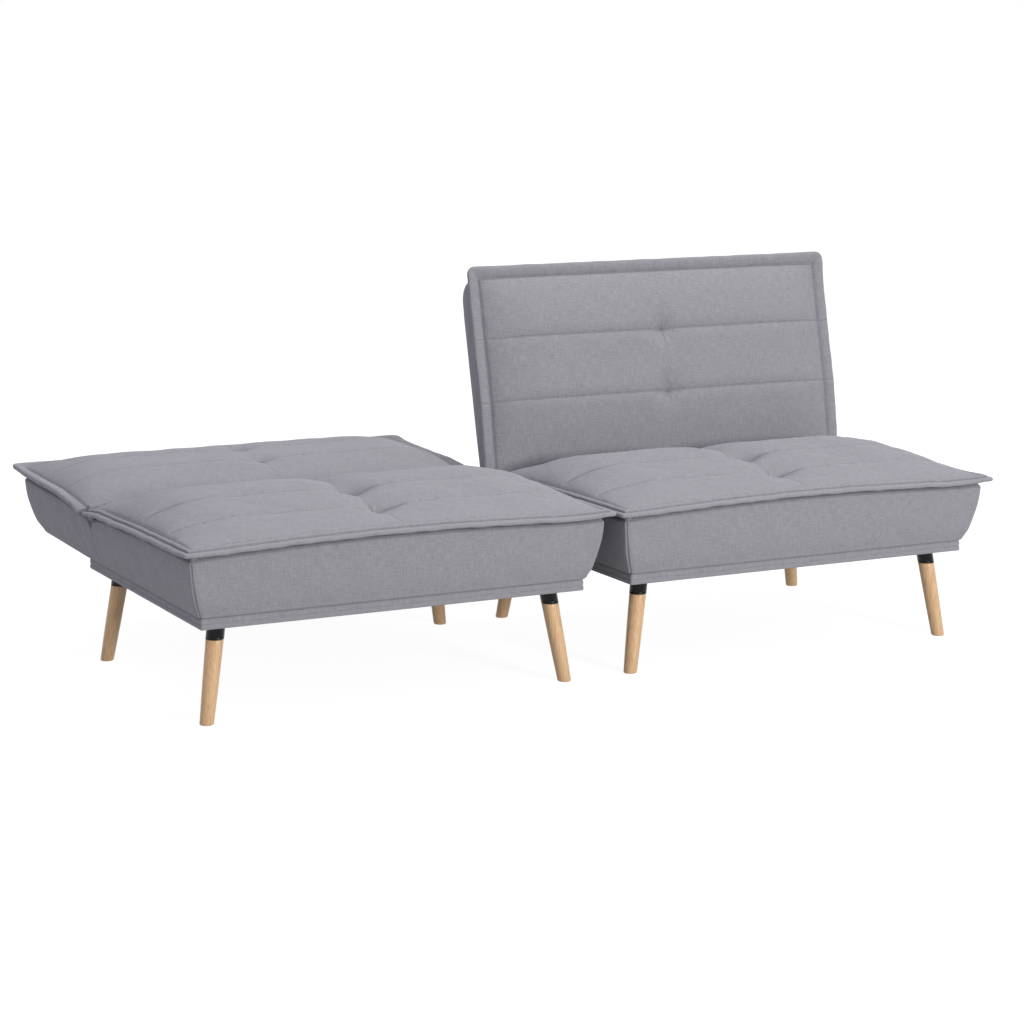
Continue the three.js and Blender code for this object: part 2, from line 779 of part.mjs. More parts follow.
function legHolder(rear) {
  const socketTop = ferruleBottom + tenonLength;
  const ferrule = turned([
    [0, socketTop],
    [tenonRadius + touchGap, socketTop],
    [tenonRadius + touchGap, ferruleBottom],
    [ferruleRadius, ferruleBottom],
    [ferruleRadius, ferruleTop + touchGap],
    [0, ferruleTop + touchGap],
  ]).rotateX(Math.PI / 2);
  const half = legPlateWidth / 2;
  const top = box([-half, -half, ferruleTop], [half, half, legPlateTop]);
  const wall = lerp(tenonRadius, ferruleRadius, finRootShare);
  const fin = () => plate(outline([
    [wall, ferruleBottom],
    [ferruleRadius + touchGap, ferruleBottom],
    [ferruleRadius + touchGap, ferruleTop - finLength],
    [ferruleRadius + finThickness, ferruleTop - finLength],
    [ferruleRadius + finReach, ferruleTop - finThickness],
    [ferruleRadius + finReach, ferruleTop],
    [half, ferruleTop],
    [half, legPlateTop],
    [wall, legPlateTop],
  ]), -finThickness / 2, finThickness / 2);
  return lean(rear, welded(rear ? join(ferrule, top, fin()) : join(ferrule, top)));
}

function dustCover() {
  const top = baseBottom - touchGap;
  const sheet = box([baseInset, baseInset, top - dustCoverThickness],
    [halfWidth - baseInset, baseRearEnd, top]);
  const plateEdge = legPlateWidth / 2 + slotGap;
  const across = footInset + sideSplay + plateEdge;
  const frontEdge = frontFootPlace + lengthSplay + plateEdge;
  const rearEdge = rearFootPlace - lengthSplay - plateEdge;
  const frontNotch = () => box([0, 0, 0], [across, frontEdge, baseTop]);
  const rearNotch = () => box([0, rearEdge, 0], [across, wholeDepth, baseTop]);
  return cut(sheet, ...bothSides(frontNotch), ...bothSides(rearNotch));
}

// Assembly
function named(name, geometry, material) {
  const mesh = new THREE.Mesh(geometry, material);
  mesh.name = name;
  return mesh;
}

// The outer side of the left half is its left side, and of the right half its right side
const isMirrored = (prefix, side) => (prefix === 'left') === (side === 'inner');

function backGroup(prefix, turnDegrees) {
  const back = new THREE.Group();
  back.add(named(`${prefix}_back_quilt`, backQuilt(), fabric()));
  back.add(named(`${prefix}_back_shell`, backShell(), fabric()));
  back.add(named(`${prefix}_back_foam`, backFoam(), foam()));
  back.add(named(`${prefix}_back_board`, backBoard(), plywood()));
  for (const side of ['outer', 'inner']) {
    const mirrored = isMirrored(prefix, side);
    back.add(named(`${prefix}_hinge_arm_${side}`, onSide(mirrored, hingeArm()), zincSteel()));
  }
  back.position.set(0, seatDepth, hingeHeight);
  back.rotation.x = radians(turnDegrees);
  return back;
}

function halfSofa(prefix, place, turnDegrees) {
  const half = new THREE.Group();
  const add = (name, geometry, material) => half.add(named(`${prefix}_${name}`, geometry, material));
  add('seat_quilt', seatQuilt(), fabric());
  add('seat_border', seatBorder(), fabric());
  add('seat_foam', seatFoam(), foam());
  add('seat_deck', seatDeck(), plywood());
  add('front_rail', frontRail(), pine());
  add('rear_rail', rearRail(), pine());
  add('base_skirt', baseSkirt(), fabric());
  add('dust_cover', dustCover(), blackCloth());
  for (const side of ['outer', 'inner']) {
    const mirrored = isMirrored(prefix, side);
    add(`side_rail_${side}`, onSide(mirrored, sideRail()), pine());
    add(`hinge_base_${side}`, onSide(mirrored, toHinge(hingeBase())), zincSteel());
    add(`hinge_pin_${side}`, onSide(mirrored, toHinge(hingePin())), zincSteel());
    add(`hinge_pawl_${side}`, onSide(mirrored, toHinge(hingePawl())), zincSteel());
    for (const end of ['front', 'rear']) {
      const rear = end === 'rear';
      add(`${end}_leg_${side}`, onSide(mirrored, leg(rear)), ash());
      add(`${end}_leg_holder_${side}`, onSide(mirrored, legHolder(rear)), blackSteel());
    }
  }
  half.add(backGroup(prefix, turnDegrees));
  half.position.x = place;
  return half;
}

const sofaBed = new THREE.Group();
sofaBed.add(halfSofa('left', 0, 0));
sofaBed.add(halfSofa('right', halfWidth + halfGap, backSwingDegrees));
for (const half of sofaBed.children) {
  half.position.x -= wholeWidth / 2;
  half.position.y = -wholeDepth / 2;
}

export default sofaBed;
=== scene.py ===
"""Looks of an armless click clack sofa bed in two halves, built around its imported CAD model.

Sizes are in millimetres, as in the CAD source, and turn to metres where a mesh is made. Each half
is drawn in its own coordinates: across from the outer edge of the left flange, along from the free
flange edge towards the joint, and up from the floor. A back is drawn as if it lay flat and is then
turned about its hinge to where the CAD has it.
"""

import json
import logging
import math
from dataclasses import dataclass, field
from enum import Enum

import bmesh
import bpy
import numpy as np
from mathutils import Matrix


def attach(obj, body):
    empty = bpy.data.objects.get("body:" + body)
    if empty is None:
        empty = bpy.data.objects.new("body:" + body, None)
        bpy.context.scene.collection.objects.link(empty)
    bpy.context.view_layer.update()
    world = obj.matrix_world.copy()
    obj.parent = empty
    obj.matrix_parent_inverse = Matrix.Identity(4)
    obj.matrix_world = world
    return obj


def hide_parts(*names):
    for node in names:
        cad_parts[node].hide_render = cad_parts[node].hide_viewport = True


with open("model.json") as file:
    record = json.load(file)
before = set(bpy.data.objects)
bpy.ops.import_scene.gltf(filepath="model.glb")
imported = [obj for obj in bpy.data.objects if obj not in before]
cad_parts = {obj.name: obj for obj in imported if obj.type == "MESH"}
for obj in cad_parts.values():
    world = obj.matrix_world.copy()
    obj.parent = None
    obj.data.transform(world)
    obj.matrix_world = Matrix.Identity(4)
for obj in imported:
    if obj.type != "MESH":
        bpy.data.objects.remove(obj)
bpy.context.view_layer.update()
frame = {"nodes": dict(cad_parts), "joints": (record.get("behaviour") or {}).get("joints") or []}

logging.basicConfig(level=logging.INFO, format="%(message)s")
log = logging.getLogger("sofa_bed")

MM = 0.001
# Scale of a pattern that repeats every millimetre, as Object coordinates are metres.
PER_MM = 1 / MM

# Sizes of a half in mm, most of them as the CAD has them. TOUCH_GAP lies between pieces that rest on
# each other, and SWEEP_GAP between pieces that turn past each other.
HALF_WIDTH = 920.0
SEAT_DEPTH = 610.0
BACK_LENGTH = 462.0
HINGE_HEIGHT = 333.0
FLANGE_WIDTH = 24.0
FLANGE_THICKNESS = 6.0
KNUCKLE_RADIUS = 15.0
TOUCH_GAP = 0.3
SWEEP_GAP = 0.6
JOINT_LEVEL = HINGE_HEIGHT + KNUCKLE_RADIUS - FLANGE_THICKNESS / 2
BODY_BOTTOM = 217.3
BASE_TOP = 217.0
BASE_BOTTOM = 196.0
# The back's rear panel rises from here to its free edge.
REST_EDGE = 360.0
UNDERSIDE_RISE = 6.0
# The seat's hinge slots, measured from the side, and the back's, which take the hinge arms.
SLOT_LOW, SLOT_HIGH = 50.5, 65.8
SLOT_BOTTOM = 276.9
SLOT_START = 508.0
SLOT_MARGIN = 1.0
ARM_SLOT_LOW, ARM_SLOT_HIGH = 58.0, 62.6
ARM_SLOT_DEPTH = 20.0
# How far cloth over a hinge stays above the hinge line, clear of the hinge's eye.
EYE_CLEARANCE = 10.7

# Helpers for shapes


def wave_sum(place: np.ndarray, lengths: tuple[float, ...], seed: int) -> np.ndarray:
    """Smooth uneven line: sine waves of the given lengths with seeded phases, added up.

    Args:
        place: Distance along the line in mm, any shape.
        lengths: Wave lengths in mm.
        seed: Seed of the phases.

    Returns:
        Values of about -1 to 1 in the shape of place.
    """
    phases = np.random.default_rng(seed).uniform(0, 2 * math.pi, len(lengths))
    waves = [np.sin(2 * math.pi * place / length + phase) for length, phase in zip(lengths, phases)]
    return sum(waves) / len(lengths)


def lumps(x: np.ndarray, y: np.ndarray, length: float, seed: int, count: int = 9) -> np.ndarray:
    """Smooth uneven surface: sine waves that run in seeded directions, added up.

    Args:
        x: First coordinate in mm.
        y: Second coordinate in mm.
        length: Typical wave length in mm.
        seed: Seed of the directions and phases.
        count: How many waves.

    Returns:
        Values of about -1 to 1.
    """
    rng = np.random.default_rng(seed)
    angles = rng.uniform(0, math.pi, count)
    phases = rng.uniform(0, 2 * math.pi, count)
    sizes = length * rng.uniform(0.7, 1.5, count)
    total = sum(
        np.sin(2 * math.pi * (x * math.cos(a) + y * math.sin(a)) / size + phase)
        for a, phase, size in zip(angles, phases, sizes)
    )
    return total / math.sqrt(count)


def rise(distance: np.ndarray, reach: float, power: float) -> np.ndarray:
    """How a stuffed panel rises from an edge: 1 less the square of what is left of its reach, to a power."""
    share = np.clip(distance / reach, 0, 1)
    return (1 - (1 - share) ** 2) ** power


def crease(distance: np.ndarray, reach: float) -> np.ndarray:
    """How a stuffed panel sinks towards a seam: the square of what is left of the reach."""
    return np.clip(1 - np.abs(distance) / reach, 0, None) ** 2


def smooth_step(value: np.ndarray, low: float, high: float) -> np.ndarray:
    """From 0 at low to 1 at high, level at both ends."""
    share = np.clip((value - low) / (high - low), 0, 1)
    return share * share * (3 - 2 * share)


def bell(distance: np.ndarray, width: float) -> np.ndarray:
    """A bell curve that is 1 at distance 0 and falls to about a third at width."""
    return np.exp(-((distance / width) ** 2))


def line_run(points: np.ndarray) -> np.ndarray:
    """Distance along a line to each of its points: the lengths of its steps, added up."""
    return np.concatenate([[0], np.cumsum(np.linalg.norm(np.diff(points, axis=0), axis=1))])


def both_sides(low: float, high: float) -> tuple[tuple[float, float], tuple[float, float]]:
    """A range across, measured from the left side, and its mirror image."""
    return (low, high), (HALF_WIDTH - high, HALF_WIDTH - low)


def stations(low: float, high: float, step: float, marks: tuple[float, ...] = (), reach: float = 7,
             fine: float = 1.2) -> np.ndarray:
    """Places from low to high, a step apart, and closer together around marks such as seams.

    Args:
        low: First place in mm.
        high: Last place in mm.
        step: Usual distance in mm.
        marks: Places that need detail.
        reach: How far detail goes on either side of a mark.
        fine: Distance near a mark.

    Returns:
        Rising places.
    """
    coarse = np.linspace(low, high, round((high - low) / step) + 1)
    for mark in marks:
        coarse = coarse[np.abs(coarse - mark) > reach + fine / 2]
    near = [np.linspace(mark - reach, mark + reach, 2 * round(reach / fine) + 1) for mark in marks]
    places = np.concatenate([[low, high], coarse, *near])
    return np.unique(np.round(places[(places >= low) & (places <= high)], 4))


class Surface:
    """Grids and rims of points in mm, gathered into one mesh with a UV map in metres."""

    def __init__(self) -> None:
        """Starts empty."""
        self.points: list[np.ndarray] = []
        self.maps: list[np.ndarray] = []
        self.faces: list[list[int]] = []
        self.count = 0

    def grid(self, points: np.ndarray, uv: np.ndarray, keep: np.ndarray | None = None) -> "Surface":
        """Adds a grid of quads between neighbouring rows and columns.

        Args:
            points: Rows by columns by 3, in mm.
            uv: Rows by columns by 2, in mm.
            keep: Which quads to keep, rows - 1 by columns - 1.

        Returns:
            This surface.
        """
        rows, columns = points.shape[:2]
        index = np.arange(rows * columns).reshape(rows, columns) + self.count
        quads = np.stack([index[:-1, :-1], index[:-1, 1:], index[1:, 1:], index[1:, :-1]], -1)
        chosen = quads.reshape(-1, 4) if keep is None else quads[keep]
        self.faces.extend(chosen.tolist())
        self._store(points.reshape(-1, 3), np.broadcast_to(uv, (rows, columns, 2)).reshape(-1, 2))
        return self

    def cap(self, points: np.ndarray, uv: np.ndarray | None = None) -> "Surface":
        """Adds one face round a flat rim of points.

        Args:
            points: Count by 3, in mm.
            uv: Count by 2, in mm, or None for across and along.

        Returns:
            This surface.
        """
        self.faces.append(list(range(self.count, self.count + len(points))))
        self._store(points, points[:, :2] if uv is None else uv)
        return self

    def bar(self, rings: np.ndarray, axes: tuple[int, int] = (0, 1)) -> "Surface":
        """Adds a closed bar between two rings of points, with a face at either end.

        Args:
            rings: 2 by count by 3, in mm. A ring doesn't repeat its first point.
            axes: The two axes that give the UV places.

        Returns:
            This surface.
        """
        closed = np.concatenate([rings, rings[:, :1]], axis=1)
        return self.grid(closed, closed[..., axes]).cap(rings[0]).cap(rings[1])

    def _store(self, points: np.ndarray, uv: np.ndarray) -> None:
        """Keeps a block of points.

        Args:
            points: Count by 3, in mm.
            uv: Their places in the UV map, count by 2, in mm.
        """
        self.points.append(np.asarray(points, float))
        self.maps.append(np.asarray(uv, float))
        self.count += len(points)

    def build(self, name: str, place: "Place", weld: float = 0.02,
              outward: bool = True) -> bpy.types.Object:
        """Makes the mesh, merges doubled points and turns the faces outwards.

        Args:
            name: Name of the piece.
            place: Where it stands.
            weld: Distance in mm within which points are one.
            outward: Whether the faces are turned outwards.

        Returns:
            The piece, smooth and in the row frame.
        """
        mesh = bpy.data.meshes.new(name)
        points = place.put(np.concatenate(self.points))
        mesh.from_pydata(points.tolist(), [], self.faces)
        corners = np.empty(len(mesh.loops), np.int32)
        mesh.loops.foreach_get("vertex_index", corners)
        layer = mesh.uv_layers.new(name="cloth")
        layer.data.foreach_set("uv", (np.concatenate(self.maps)[corners] * MM).astype(np.float32).ravel())
        work = bmesh.new()
        work.from_mesh(mesh)
        bmesh.ops.remove_doubles(work, verts=work.verts, dist=weld * MM)
        bmesh.ops.dissolve_degenerate(work, edges=work.edges, dist=weld * MM / 4)
        if outward:
            bmesh.ops.recalc_face_normals(work, faces=work.faces)
        work.to_mesh(mesh)
        work.free()
        mesh.shade_smooth()
        return link_object(name, mesh)


def link_object(name: str, data: bpy.types.ID) -> bpy.types.Object:
    """Puts a mesh, a lamp or a camera into the scene.

    Args:
        name: Name of the object.
        data: What it shows.

    Returns:
        The object.
    """
    made = bpy.data.objects.new(name, data)
    bpy.context.scene.collection.objects.link(made)
    return made


@dataclass(frozen=True)
class Place:
    """Where a half or its back stands: the hinge's place in metres and the turn about it in radians."""

    middle: float
    pivot: tuple[float, float]
    turn: float = 0.0
    mirrored: bool = False

    def take(self, points: np.ndarray) -> np.ndarray:
        """Carries points from the row frame to a half's own coordinates, as the inverse of put.

        Args:
            points: Count by 3, in metres.

        Returns:
            Count by 3, in mm.
        """
        x, y, z = points.T
        cos, sin = math.cos(self.turn), math.sin(self.turn)
        away, up = (y - self.pivot[0]) / MM, (z - self.pivot[1]) / MM
        back = away * cos + up * sin
        across = (x - self.middle) / MM + HALF_WIDTH / 2
        along = BACK_LENGTH - back if self.mirrored else SEAT_DEPTH + back
        return np.stack([across, along, up * cos - away * sin + HINGE_HEIGHT], -1)

    def put(self, points: np.ndarray) -> np.ndarray:
        """Carries points from a half's own coordinates to the row frame.

        A back runs the other way along, and is turned about the hinge line: y and z are rotated by
        the turn around the pivot.

        Args:
            points: Count by 3, in mm.

        Returns:
            Count by 3, in metres.
        """
        across, along, up = points.T
        x = (across - HALF_WIDTH / 2) * MM + self.middle
        y = ((SEAT_DEPTH - along) if not self.mirrored else (along - BACK_LENGTH)) * -MM
        z = (up - HINGE_HEIGHT) * MM
        cos, sin = math.cos(self.turn), math.sin(self.turn)
        return np.stack([x, self.pivot[0] + y * cos - z * sin, self.pivot[1] + y * sin + z * cos], -1)


# Finishes


def linear(colour: str) -> tuple[float, float, float, float]:
    """Turns an sRGB hex colour to the linear values that a shader takes.

    Args:
        colour: The colour as # and six hex digits.

    Returns:
        Linear red, green and blue, and an alpha of 1.
    """
    parts = [int(colour[i:i + 2], 16) / 255 for i in (1, 3, 5)]
    low = [part / 12.92 if part <= 0.04045 else ((part + 0.055) / 1.055) ** 2.4 for part in parts]
    return (*low, 1.0)


def add_node(tree: bpy.types.NodeTree, kind: str, settings: dict | None = None,
             links: dict | None = None) -> bpy.types.Node:
    """Adds a node, sets it and links it.

    Args:
        tree: The node tree.
        kind: The node's type name.
        settings: Properties by name, and socket values by socket name or number.
        links: Output sockets by the input's name or number.

    Returns:
        The node.
    """
    node = tree.nodes.new(kind)
    for key, value in (settings or {}).items():
        if isinstance(key, str) and hasattr(node, key):
            setattr(node, key, value)
        else:
            node.inputs[key].default_value = value
    for key, source in (links or {}).items():
        tree.links.new(source, node.inputs[key])
    return node


def ramp(tree: bpy.types.NodeTree, factor: bpy.types.NodeSocket,
         stops: list[tuple[float, str]]) -> bpy.types.NodeSocket:
    """Adds colours along a factor.

    Args:
        tree: The node tree.
        factor: The socket that the colours follow.
        stops: Places on the ramp and their sRGB hex colours.

    Returns:
        The socket with the colour.
    """
    node = add_node(tree, "ShaderNodeValToRGB", links={0: factor})
    elements = node.color_ramp.elements
    while len(elements) < len(stops):
        elements.new(0.5)
    for element, (place, colour) in zip(elements, stops):
        element.position = place
        element.color = linear(colour)
    return node.outputs["Color"]


class Finish:
    """A real material with the way its surface was made. Subclasses say how it looks."""

    title = "finish"

    def material(self) -> bpy.types.Material:
        """The Blender material, made once and then shared.

        Returns:
            The material.
        """
        made = bpy.data.materials.get(self.title)
        if made is None:
            made = bpy.data.materials.new(self.title)
            made.use_nodes = True
            tree = made.node_tree
            self.dress(tree, tree.nodes["Principled BSDF"])
        return made

    def dress(self, tree: bpy.types.NodeTree, shader: bpy.types.Node) -> None:
        """Sets the shader and adds its textures."""
        raise NotImplementedError

    def put_on(self, piece: bpy.types.Object) -> None:
        """Gives a piece this material alone."""
        piece.data.materials.clear()
        piece.data.materials.append(self.material())


@dataclass(frozen=True)
class HeatheredWeave(Finish):
    """Polyester upholstery cloth, plain weave of yarns spun from light and dark grey fibre.

    Gives the eye a soft matt grey, broken by short light and dark slubs both ways.
    """

    title: str = "heathered_plain_weave"
    light: str = "#a5a6ac"
    middle: str = "#98999f"
    dark: str = "#8a8b91"
    thread: float = 1.8
    slub_length: float = 22.0
    slub_width: float = 1.6
    fibre: float = 1.1

    def dress(self, tree: bpy.types.NodeTree, shader: bpy.types.Node) -> None:
        """Slubs from two stretched noises, a fine weave as bump, and a soft sheen.

        The yarns of such cloth lie about 0.6 mm apart. They are drawn 1.8 mm apart, so that they show.

        Args:
            tree: The material's node tree.
            shader: Its principled shader.
        """
        uv = add_node(tree, "ShaderNodeUVMap", {"uv_map": "cloth"}).outputs[0]
        slubs = []
        for turn in (0, 1):
            scale = [PER_MM / self.slub_length, PER_MM / self.slub_width][::1 if turn else -1]
            stretched = add_node(tree, "ShaderNodeMapping", {"Scale": (*scale, 1.0)}, {"Vector": uv})
            noise = add_node(tree, "ShaderNodeTexNoise", {"Scale": 1.0, "Detail": 2.0, "Roughness": 0.6},
                             {"Vector": stretched.outputs[0]})
            slubs.append(noise.outputs[0])
        both = add_node(tree, "ShaderNodeMath", {"operation": "ADD"}, {0: slubs[0], 1: slubs[1]})
        half = add_node(tree, "ShaderNodeMath", {"operation": "MULTIPLY", 1: 0.5}, {0: both.outputs[0]})
        fibre = add_node(tree, "ShaderNodeTexNoise", {"Scale": PER_MM / self.fibre, "Detail": 1.0},
                         {"Vector": uv})
        mixed = add_node(tree, "ShaderNodeMix", {"data_type": "FLOAT", 0: 0.16},
                         {2: half.outputs[0], 3: fibre.outputs[0]})
        colour = ramp(tree, mixed.outputs[0], [(0.36, self.dark), (0.5, self.middle), (0.64, self.light)])
        tree.links.new(colour, shader.inputs["Base Color"])
        # Wave bands at scale 1 repeat every 2 pi / 20, and a plain weave repeats every two yarns.
        pitch = PER_MM / self.thread / 20 * math.pi
        yarns = []
        for direction in ("X", "Y"):
            wave = add_node(tree, "ShaderNodeTexWave", {
                "bands_direction": direction, "Scale": pitch, "Distortion": 0.6, "Detail": 1.0,
                "Detail Scale": 1.5}, {"Vector": uv})
            yarns.append(wave.outputs["Fac"])
        weave = add_node(tree, "ShaderNodeMath", {"operation": "MULTIPLY"}, {0: yarns[0], 1: yarns[1]})
        height = add_node(tree, "ShaderNodeMath", {"operation": "ADD"},
                          {0: weave.outputs[0], 1: mixed.outputs[0]})
        bump = add_node(tree, "ShaderNodeBump", {"Strength": 0.35, "Distance": 0.0006},
                        {"Height": height.outputs[0]})
        tree.links.new(bump.outputs[0], shader.inputs["Normal"])
        for name, value in {
                "Roughness": 0.92, "Specular IOR Level": 0.25, "Sheen Weight": 0.25,
                "Sheen Roughness": 0.5, "Sheen Tint": linear("#e6e2ea")}.items():
            shader.inputs[name].default_value = value


@dataclass(frozen=True)
class SewingThread(Finish):
    """Bonded polyester thread, twisted: thin silky lines, a shade lighter than the cloth."""

    title: str = "bonded_sewing_thread"
    colour: str = "#aeafb4"
    twist: float = 0.7

    def dress(self, tree: bpy.types.NodeTree, shader: bpy.types.Node) -> None:
        """A fine change of tone where the strands twist, with a low silky gloss.

        Args:
            tree: The material's node tree.
            shader: Its principled shader.
        """
        place = add_node(tree, "ShaderNodeTexCoord").outputs["Object"]
        noise = add_node(tree, "ShaderNodeTexNoise", {"Scale": PER_MM / self.twist}, {"Vector": place})
        colour = ramp(tree, noise.outputs[0], [(0.35, "#97989d"), (0.65, self.colour)])
        tree.links.new(colour, shader.inputs["Base Color"])
        shader.inputs["Roughness"].default_value = 0.6


@dataclass(frozen=True)
class CutFoam(Finish):
    """Cut polyurethane foam: cream, matt, with fine open cells."""

    title: str = "cut_polyurethane_foam"
    cell: float = 1.5

    def dress(self, tree: bpy.types.NodeTree, shader: bpy.types.Node) -> None:
        """Open cells of about 1 mm, drawn 1.5 mm wide so that they show, with painted shade darkening the
        middle of each cell's pit.

        Args:
            tree: The material's node tree.
            shader: Its principled shader.
        """
        place = add_node(tree, "ShaderNodeTexCoord").outputs["Object"]
        cells = add_node(tree, "ShaderNodeTexVoronoi", {"Scale": PER_MM / self.cell}, {"Vector": place})
        # Painted shade: the colour darkens towards each cell's middle, where the bump below sinks into a
        # pit.
        colour = ramp(tree, cells.outputs["Distance"], [(0.1, "#cfc39c"), (0.7, "#ece3c8")])
        tree.links.new(colour, shader.inputs["Base Color"])
        bump = add_node(tree, "ShaderNodeBump", {"Strength": 0.5, "Distance": 0.0008},
                        {"Height": cells.outputs["Distance"]})
        tree.links.new(bump.outputs[0], shader.inputs["Normal"])
        shader.inputs["Roughness"].default_value = 0.95


class GrainAxis(Enum):
    """Which way the grain of a wooden piece runs."""

    ACROSS = "x"
    ALONG = "y"
    UP = "z"


@dataclass(frozen=True)
class WoodFinish(Finish):
    """Sawn and sanded wood: light and dark grain lines along the piece, with finer pores over them."""

    title: str = "wood"
    early: str = "#e3bf93"
    late: str = "#b98a58"
    grain: float = 3.0
    grain_length: float = 90.0
    axis: GrainAxis = GrainAxis.UP
    roughness: float = 0.45
    coat: float = 0.0

    def dress(self, tree: bpy.types.NodeTree, shader: bpy.types.Node) -> None:
        """Grain lines a few mm apart, stretched along the axis, and a faint bump of pores.

        Args:
            tree: The material's node tree.
            shader: Its principled shader.
        """
        place = add_node(tree, "ShaderNodeTexCoord").outputs["Object"]
        fine, long = PER_MM / self.grain, PER_MM / self.grain_length
        scale = tuple(long if axis == self.axis.value else fine for axis in "xyz")
        stretched = add_node(tree, "ShaderNodeMapping", {"Scale": scale}, {"Vector": place}).outputs[0]
        grain = add_node(tree, "ShaderNodeTexNoise",
                         {"Scale": 1.0, "Detail": 4.0, "Roughness": 0.6, "Distortion": 0.4},
                         {"Vector": stretched})
        pores = add_node(tree, "ShaderNodeTexNoise", {"Scale": 5.0, "Detail": 2.0}, {"Vector": stretched})
        mixed = add_node(tree, "ShaderNodeMix", {"data_type": "FLOAT", 0: 0.25},
                         {2: grain.outputs[0], 3: pores.outputs[0]})
        colour = ramp(tree, mixed.outputs[0], [(0.3, self.late), (0.55, self.early), (0.75, self.early)])
        tree.links.new(colour, shader.inputs["Base Color"])
        bump = add_node(tree, "ShaderNodeBump", {"Strength": 0.15, "Distance": 0.0003},
                        {"Height": pores.outputs[0]})
        tree.links.new(bump.outputs[0], shader.inputs["Normal"])
        shader.inputs["Roughness"].default_value = self.roughness
        shader.inputs["Coat Weight"].default_value = self.coat
        shader.inputs["Coat Roughness"].default_value = 0.25


@dataclass(frozen=True)
class LayeredPlywood(Finish):
    """Sanded plywood: a pale face with grain along the board, and dark glue lines on its edges."""

    title: str = "sanded_plywood"
    layer: float = 3.0
    grain: float = 5.0
    grain_length: float = 140.0

    def dress(self, tree: bpy.types.NodeTree, shader: bpy.types.Node) -> None:
        """Layers about 1.5 mm thick. They are drawn 3 mm thick, so that they show.

        Args:
            tree: The material's node tree.
            shader: Its principled shader.
        """
        place = add_node(tree, "ShaderNodeTexCoord").outputs["Object"]
        scale = (PER_MM / self.grain_length, PER_MM / self.grain, PER_MM / self.layer)
        stretched = add_node(tree, "ShaderNodeMapping", {"Scale": scale}, {"Vector": place}).outputs[0]
        grain = add_node(tree, "ShaderNodeTexNoise", {"Scale": 1.0, "Detail": 4.0, "Distortion": 0.6},
                         {"Vector": stretched})
        colour = ramp(tree, grain.outputs[0], [(0.35, "#b48a58"), (0.5, "#d3ab78"), (0.7, "#dfbd8f")])
        tree.links.new(colour, shader.inputs["Base Color"])
        shader.inputs["Roughness"].default_value = 0.7


@dataclass(frozen=True)
class PowderCoat(Finish):
    """Steel with a gloss black powder coat: nearly black, with small highlights and a faint orange peel."""

    title: str = "gloss_black_powder_coat"
    colour: str = "#040404"
    peel: float = 2.5

    def dress(self, tree: bpy.types.NodeTree, shader: bpy.types.Node) -> None:
        """Orange peel of 2.5 mm as a faint bump, and a slight change of gloss.

        Args:
            tree: The material's node tree.
            shader: Its principled shader.
        """
        place = add_node(tree, "ShaderNodeTexCoord").outputs["Object"]
        noise = add_node(tree, "ShaderNodeTexNoise", {"Scale": PER_MM / self.peel, "Detail": 1.0},
                         {"Vector": place})
        colour = ramp(tree, noise.outputs[0], [(0.3, self.colour), (0.8, "#070708")])
        tree.links.new(colour, shader.inputs["Base Color"])
        rough = add_node(tree, "ShaderNodeMapRange", {"To Min": 0.2, "To Max": 0.28},
                         {"Value": noise.outputs[0]})
        tree.links.new(rough.outputs[0], shader.inputs["Roughness"])
        bump = add_node(tree, "ShaderNodeBump", {"Strength": 0.05, "Distance": 0.0003},
                        {"Height": noise.outputs[0]})
        tree.links.new(bump.outputs[0], shader.inputs["Normal"])
        shader.inputs["Specular IOR Level"].default_value = 0.2


@dataclass(frozen=True)
class ZincPlate(Finish):
    """Pressed steel with bright zinc plating: blue-grey metal with a cloudy spangle."""

    title: str = "zinc_plated_steel"
    spangle: float = 6.0

    def dress(self, tree: bpy.types.NodeTree, shader: bpy.types.Node) -> None:
        """Spangle of a few mm in tone and roughness.

        Args:
            tree: The material's node tree.
            shader: Its principled shader.
        """
        place = add_node(tree, "ShaderNodeTexCoord").outputs["Object"]
        cloud = add_node(tree, "ShaderNodeTexNoise", {"Scale": PER_MM / self.spangle, "Detail": 3.0},
                         {"Vector": place})
        colour = ramp(tree, cloud.outputs[0], [(0.35, "#8b9197"), (0.65, "#b3b8bc")])
        tree.links.new(colour, shader.inputs["Base Color"])
        rough = add_node(tree, "ShaderNodeMapRange", {"To Min": 0.28, "To Max": 0.45},
                         {"Value": cloud.outputs[0]})
        tree.links.new(rough.outputs[0], shader.inputs["Roughness"])
        shader.inputs["Metallic"].default_value = 1.0


@dataclass(frozen=True)
class SpunLining(Finish):
    """Spun-bonded polypropylene lining: thin, matt black felt with embossed dots."""

    title: str = "spun_bonded_lining"
    dot: float = 3.0
    fibre: float = 1.2

    def dress(self, tree: bpy.types.NodeTree, shader: bpy.types.Node) -> None:
        """Embossed dots 1 mm apart, drawn 3 mm apart so that they show, over matted fibres.

        Args:
            tree: The material's node tree.
            shader: Its principled shader.
        """
        place = add_node(tree, "ShaderNodeTexCoord").outputs["Object"]
        dots = add_node(tree, "ShaderNodeTexVoronoi", {"Scale": PER_MM / self.dot, "Randomness": 0.0},
                        {"Vector": place})
        fibres = add_node(tree, "ShaderNodeTexNoise", {"Scale": PER_MM / self.fibre, "Detail": 3.0},
                          {"Vector": place})
        colour = ramp(tree, fibres.outputs[0], [(0.35, "#121214"), (0.7, "#2a2a2d")])
        tree.links.new(colour, shader.inputs["Base Color"])
        bump = add_node(tree, "ShaderNodeBump", {"Strength": 0.4, "Distance": 0.0004},
                        {"Height": dots.outputs["Distance"]})
        tree.links.new(bump.outputs[0], shader.inputs["Normal"])
        shader.inputs["Roughness"].default_value = 0.85


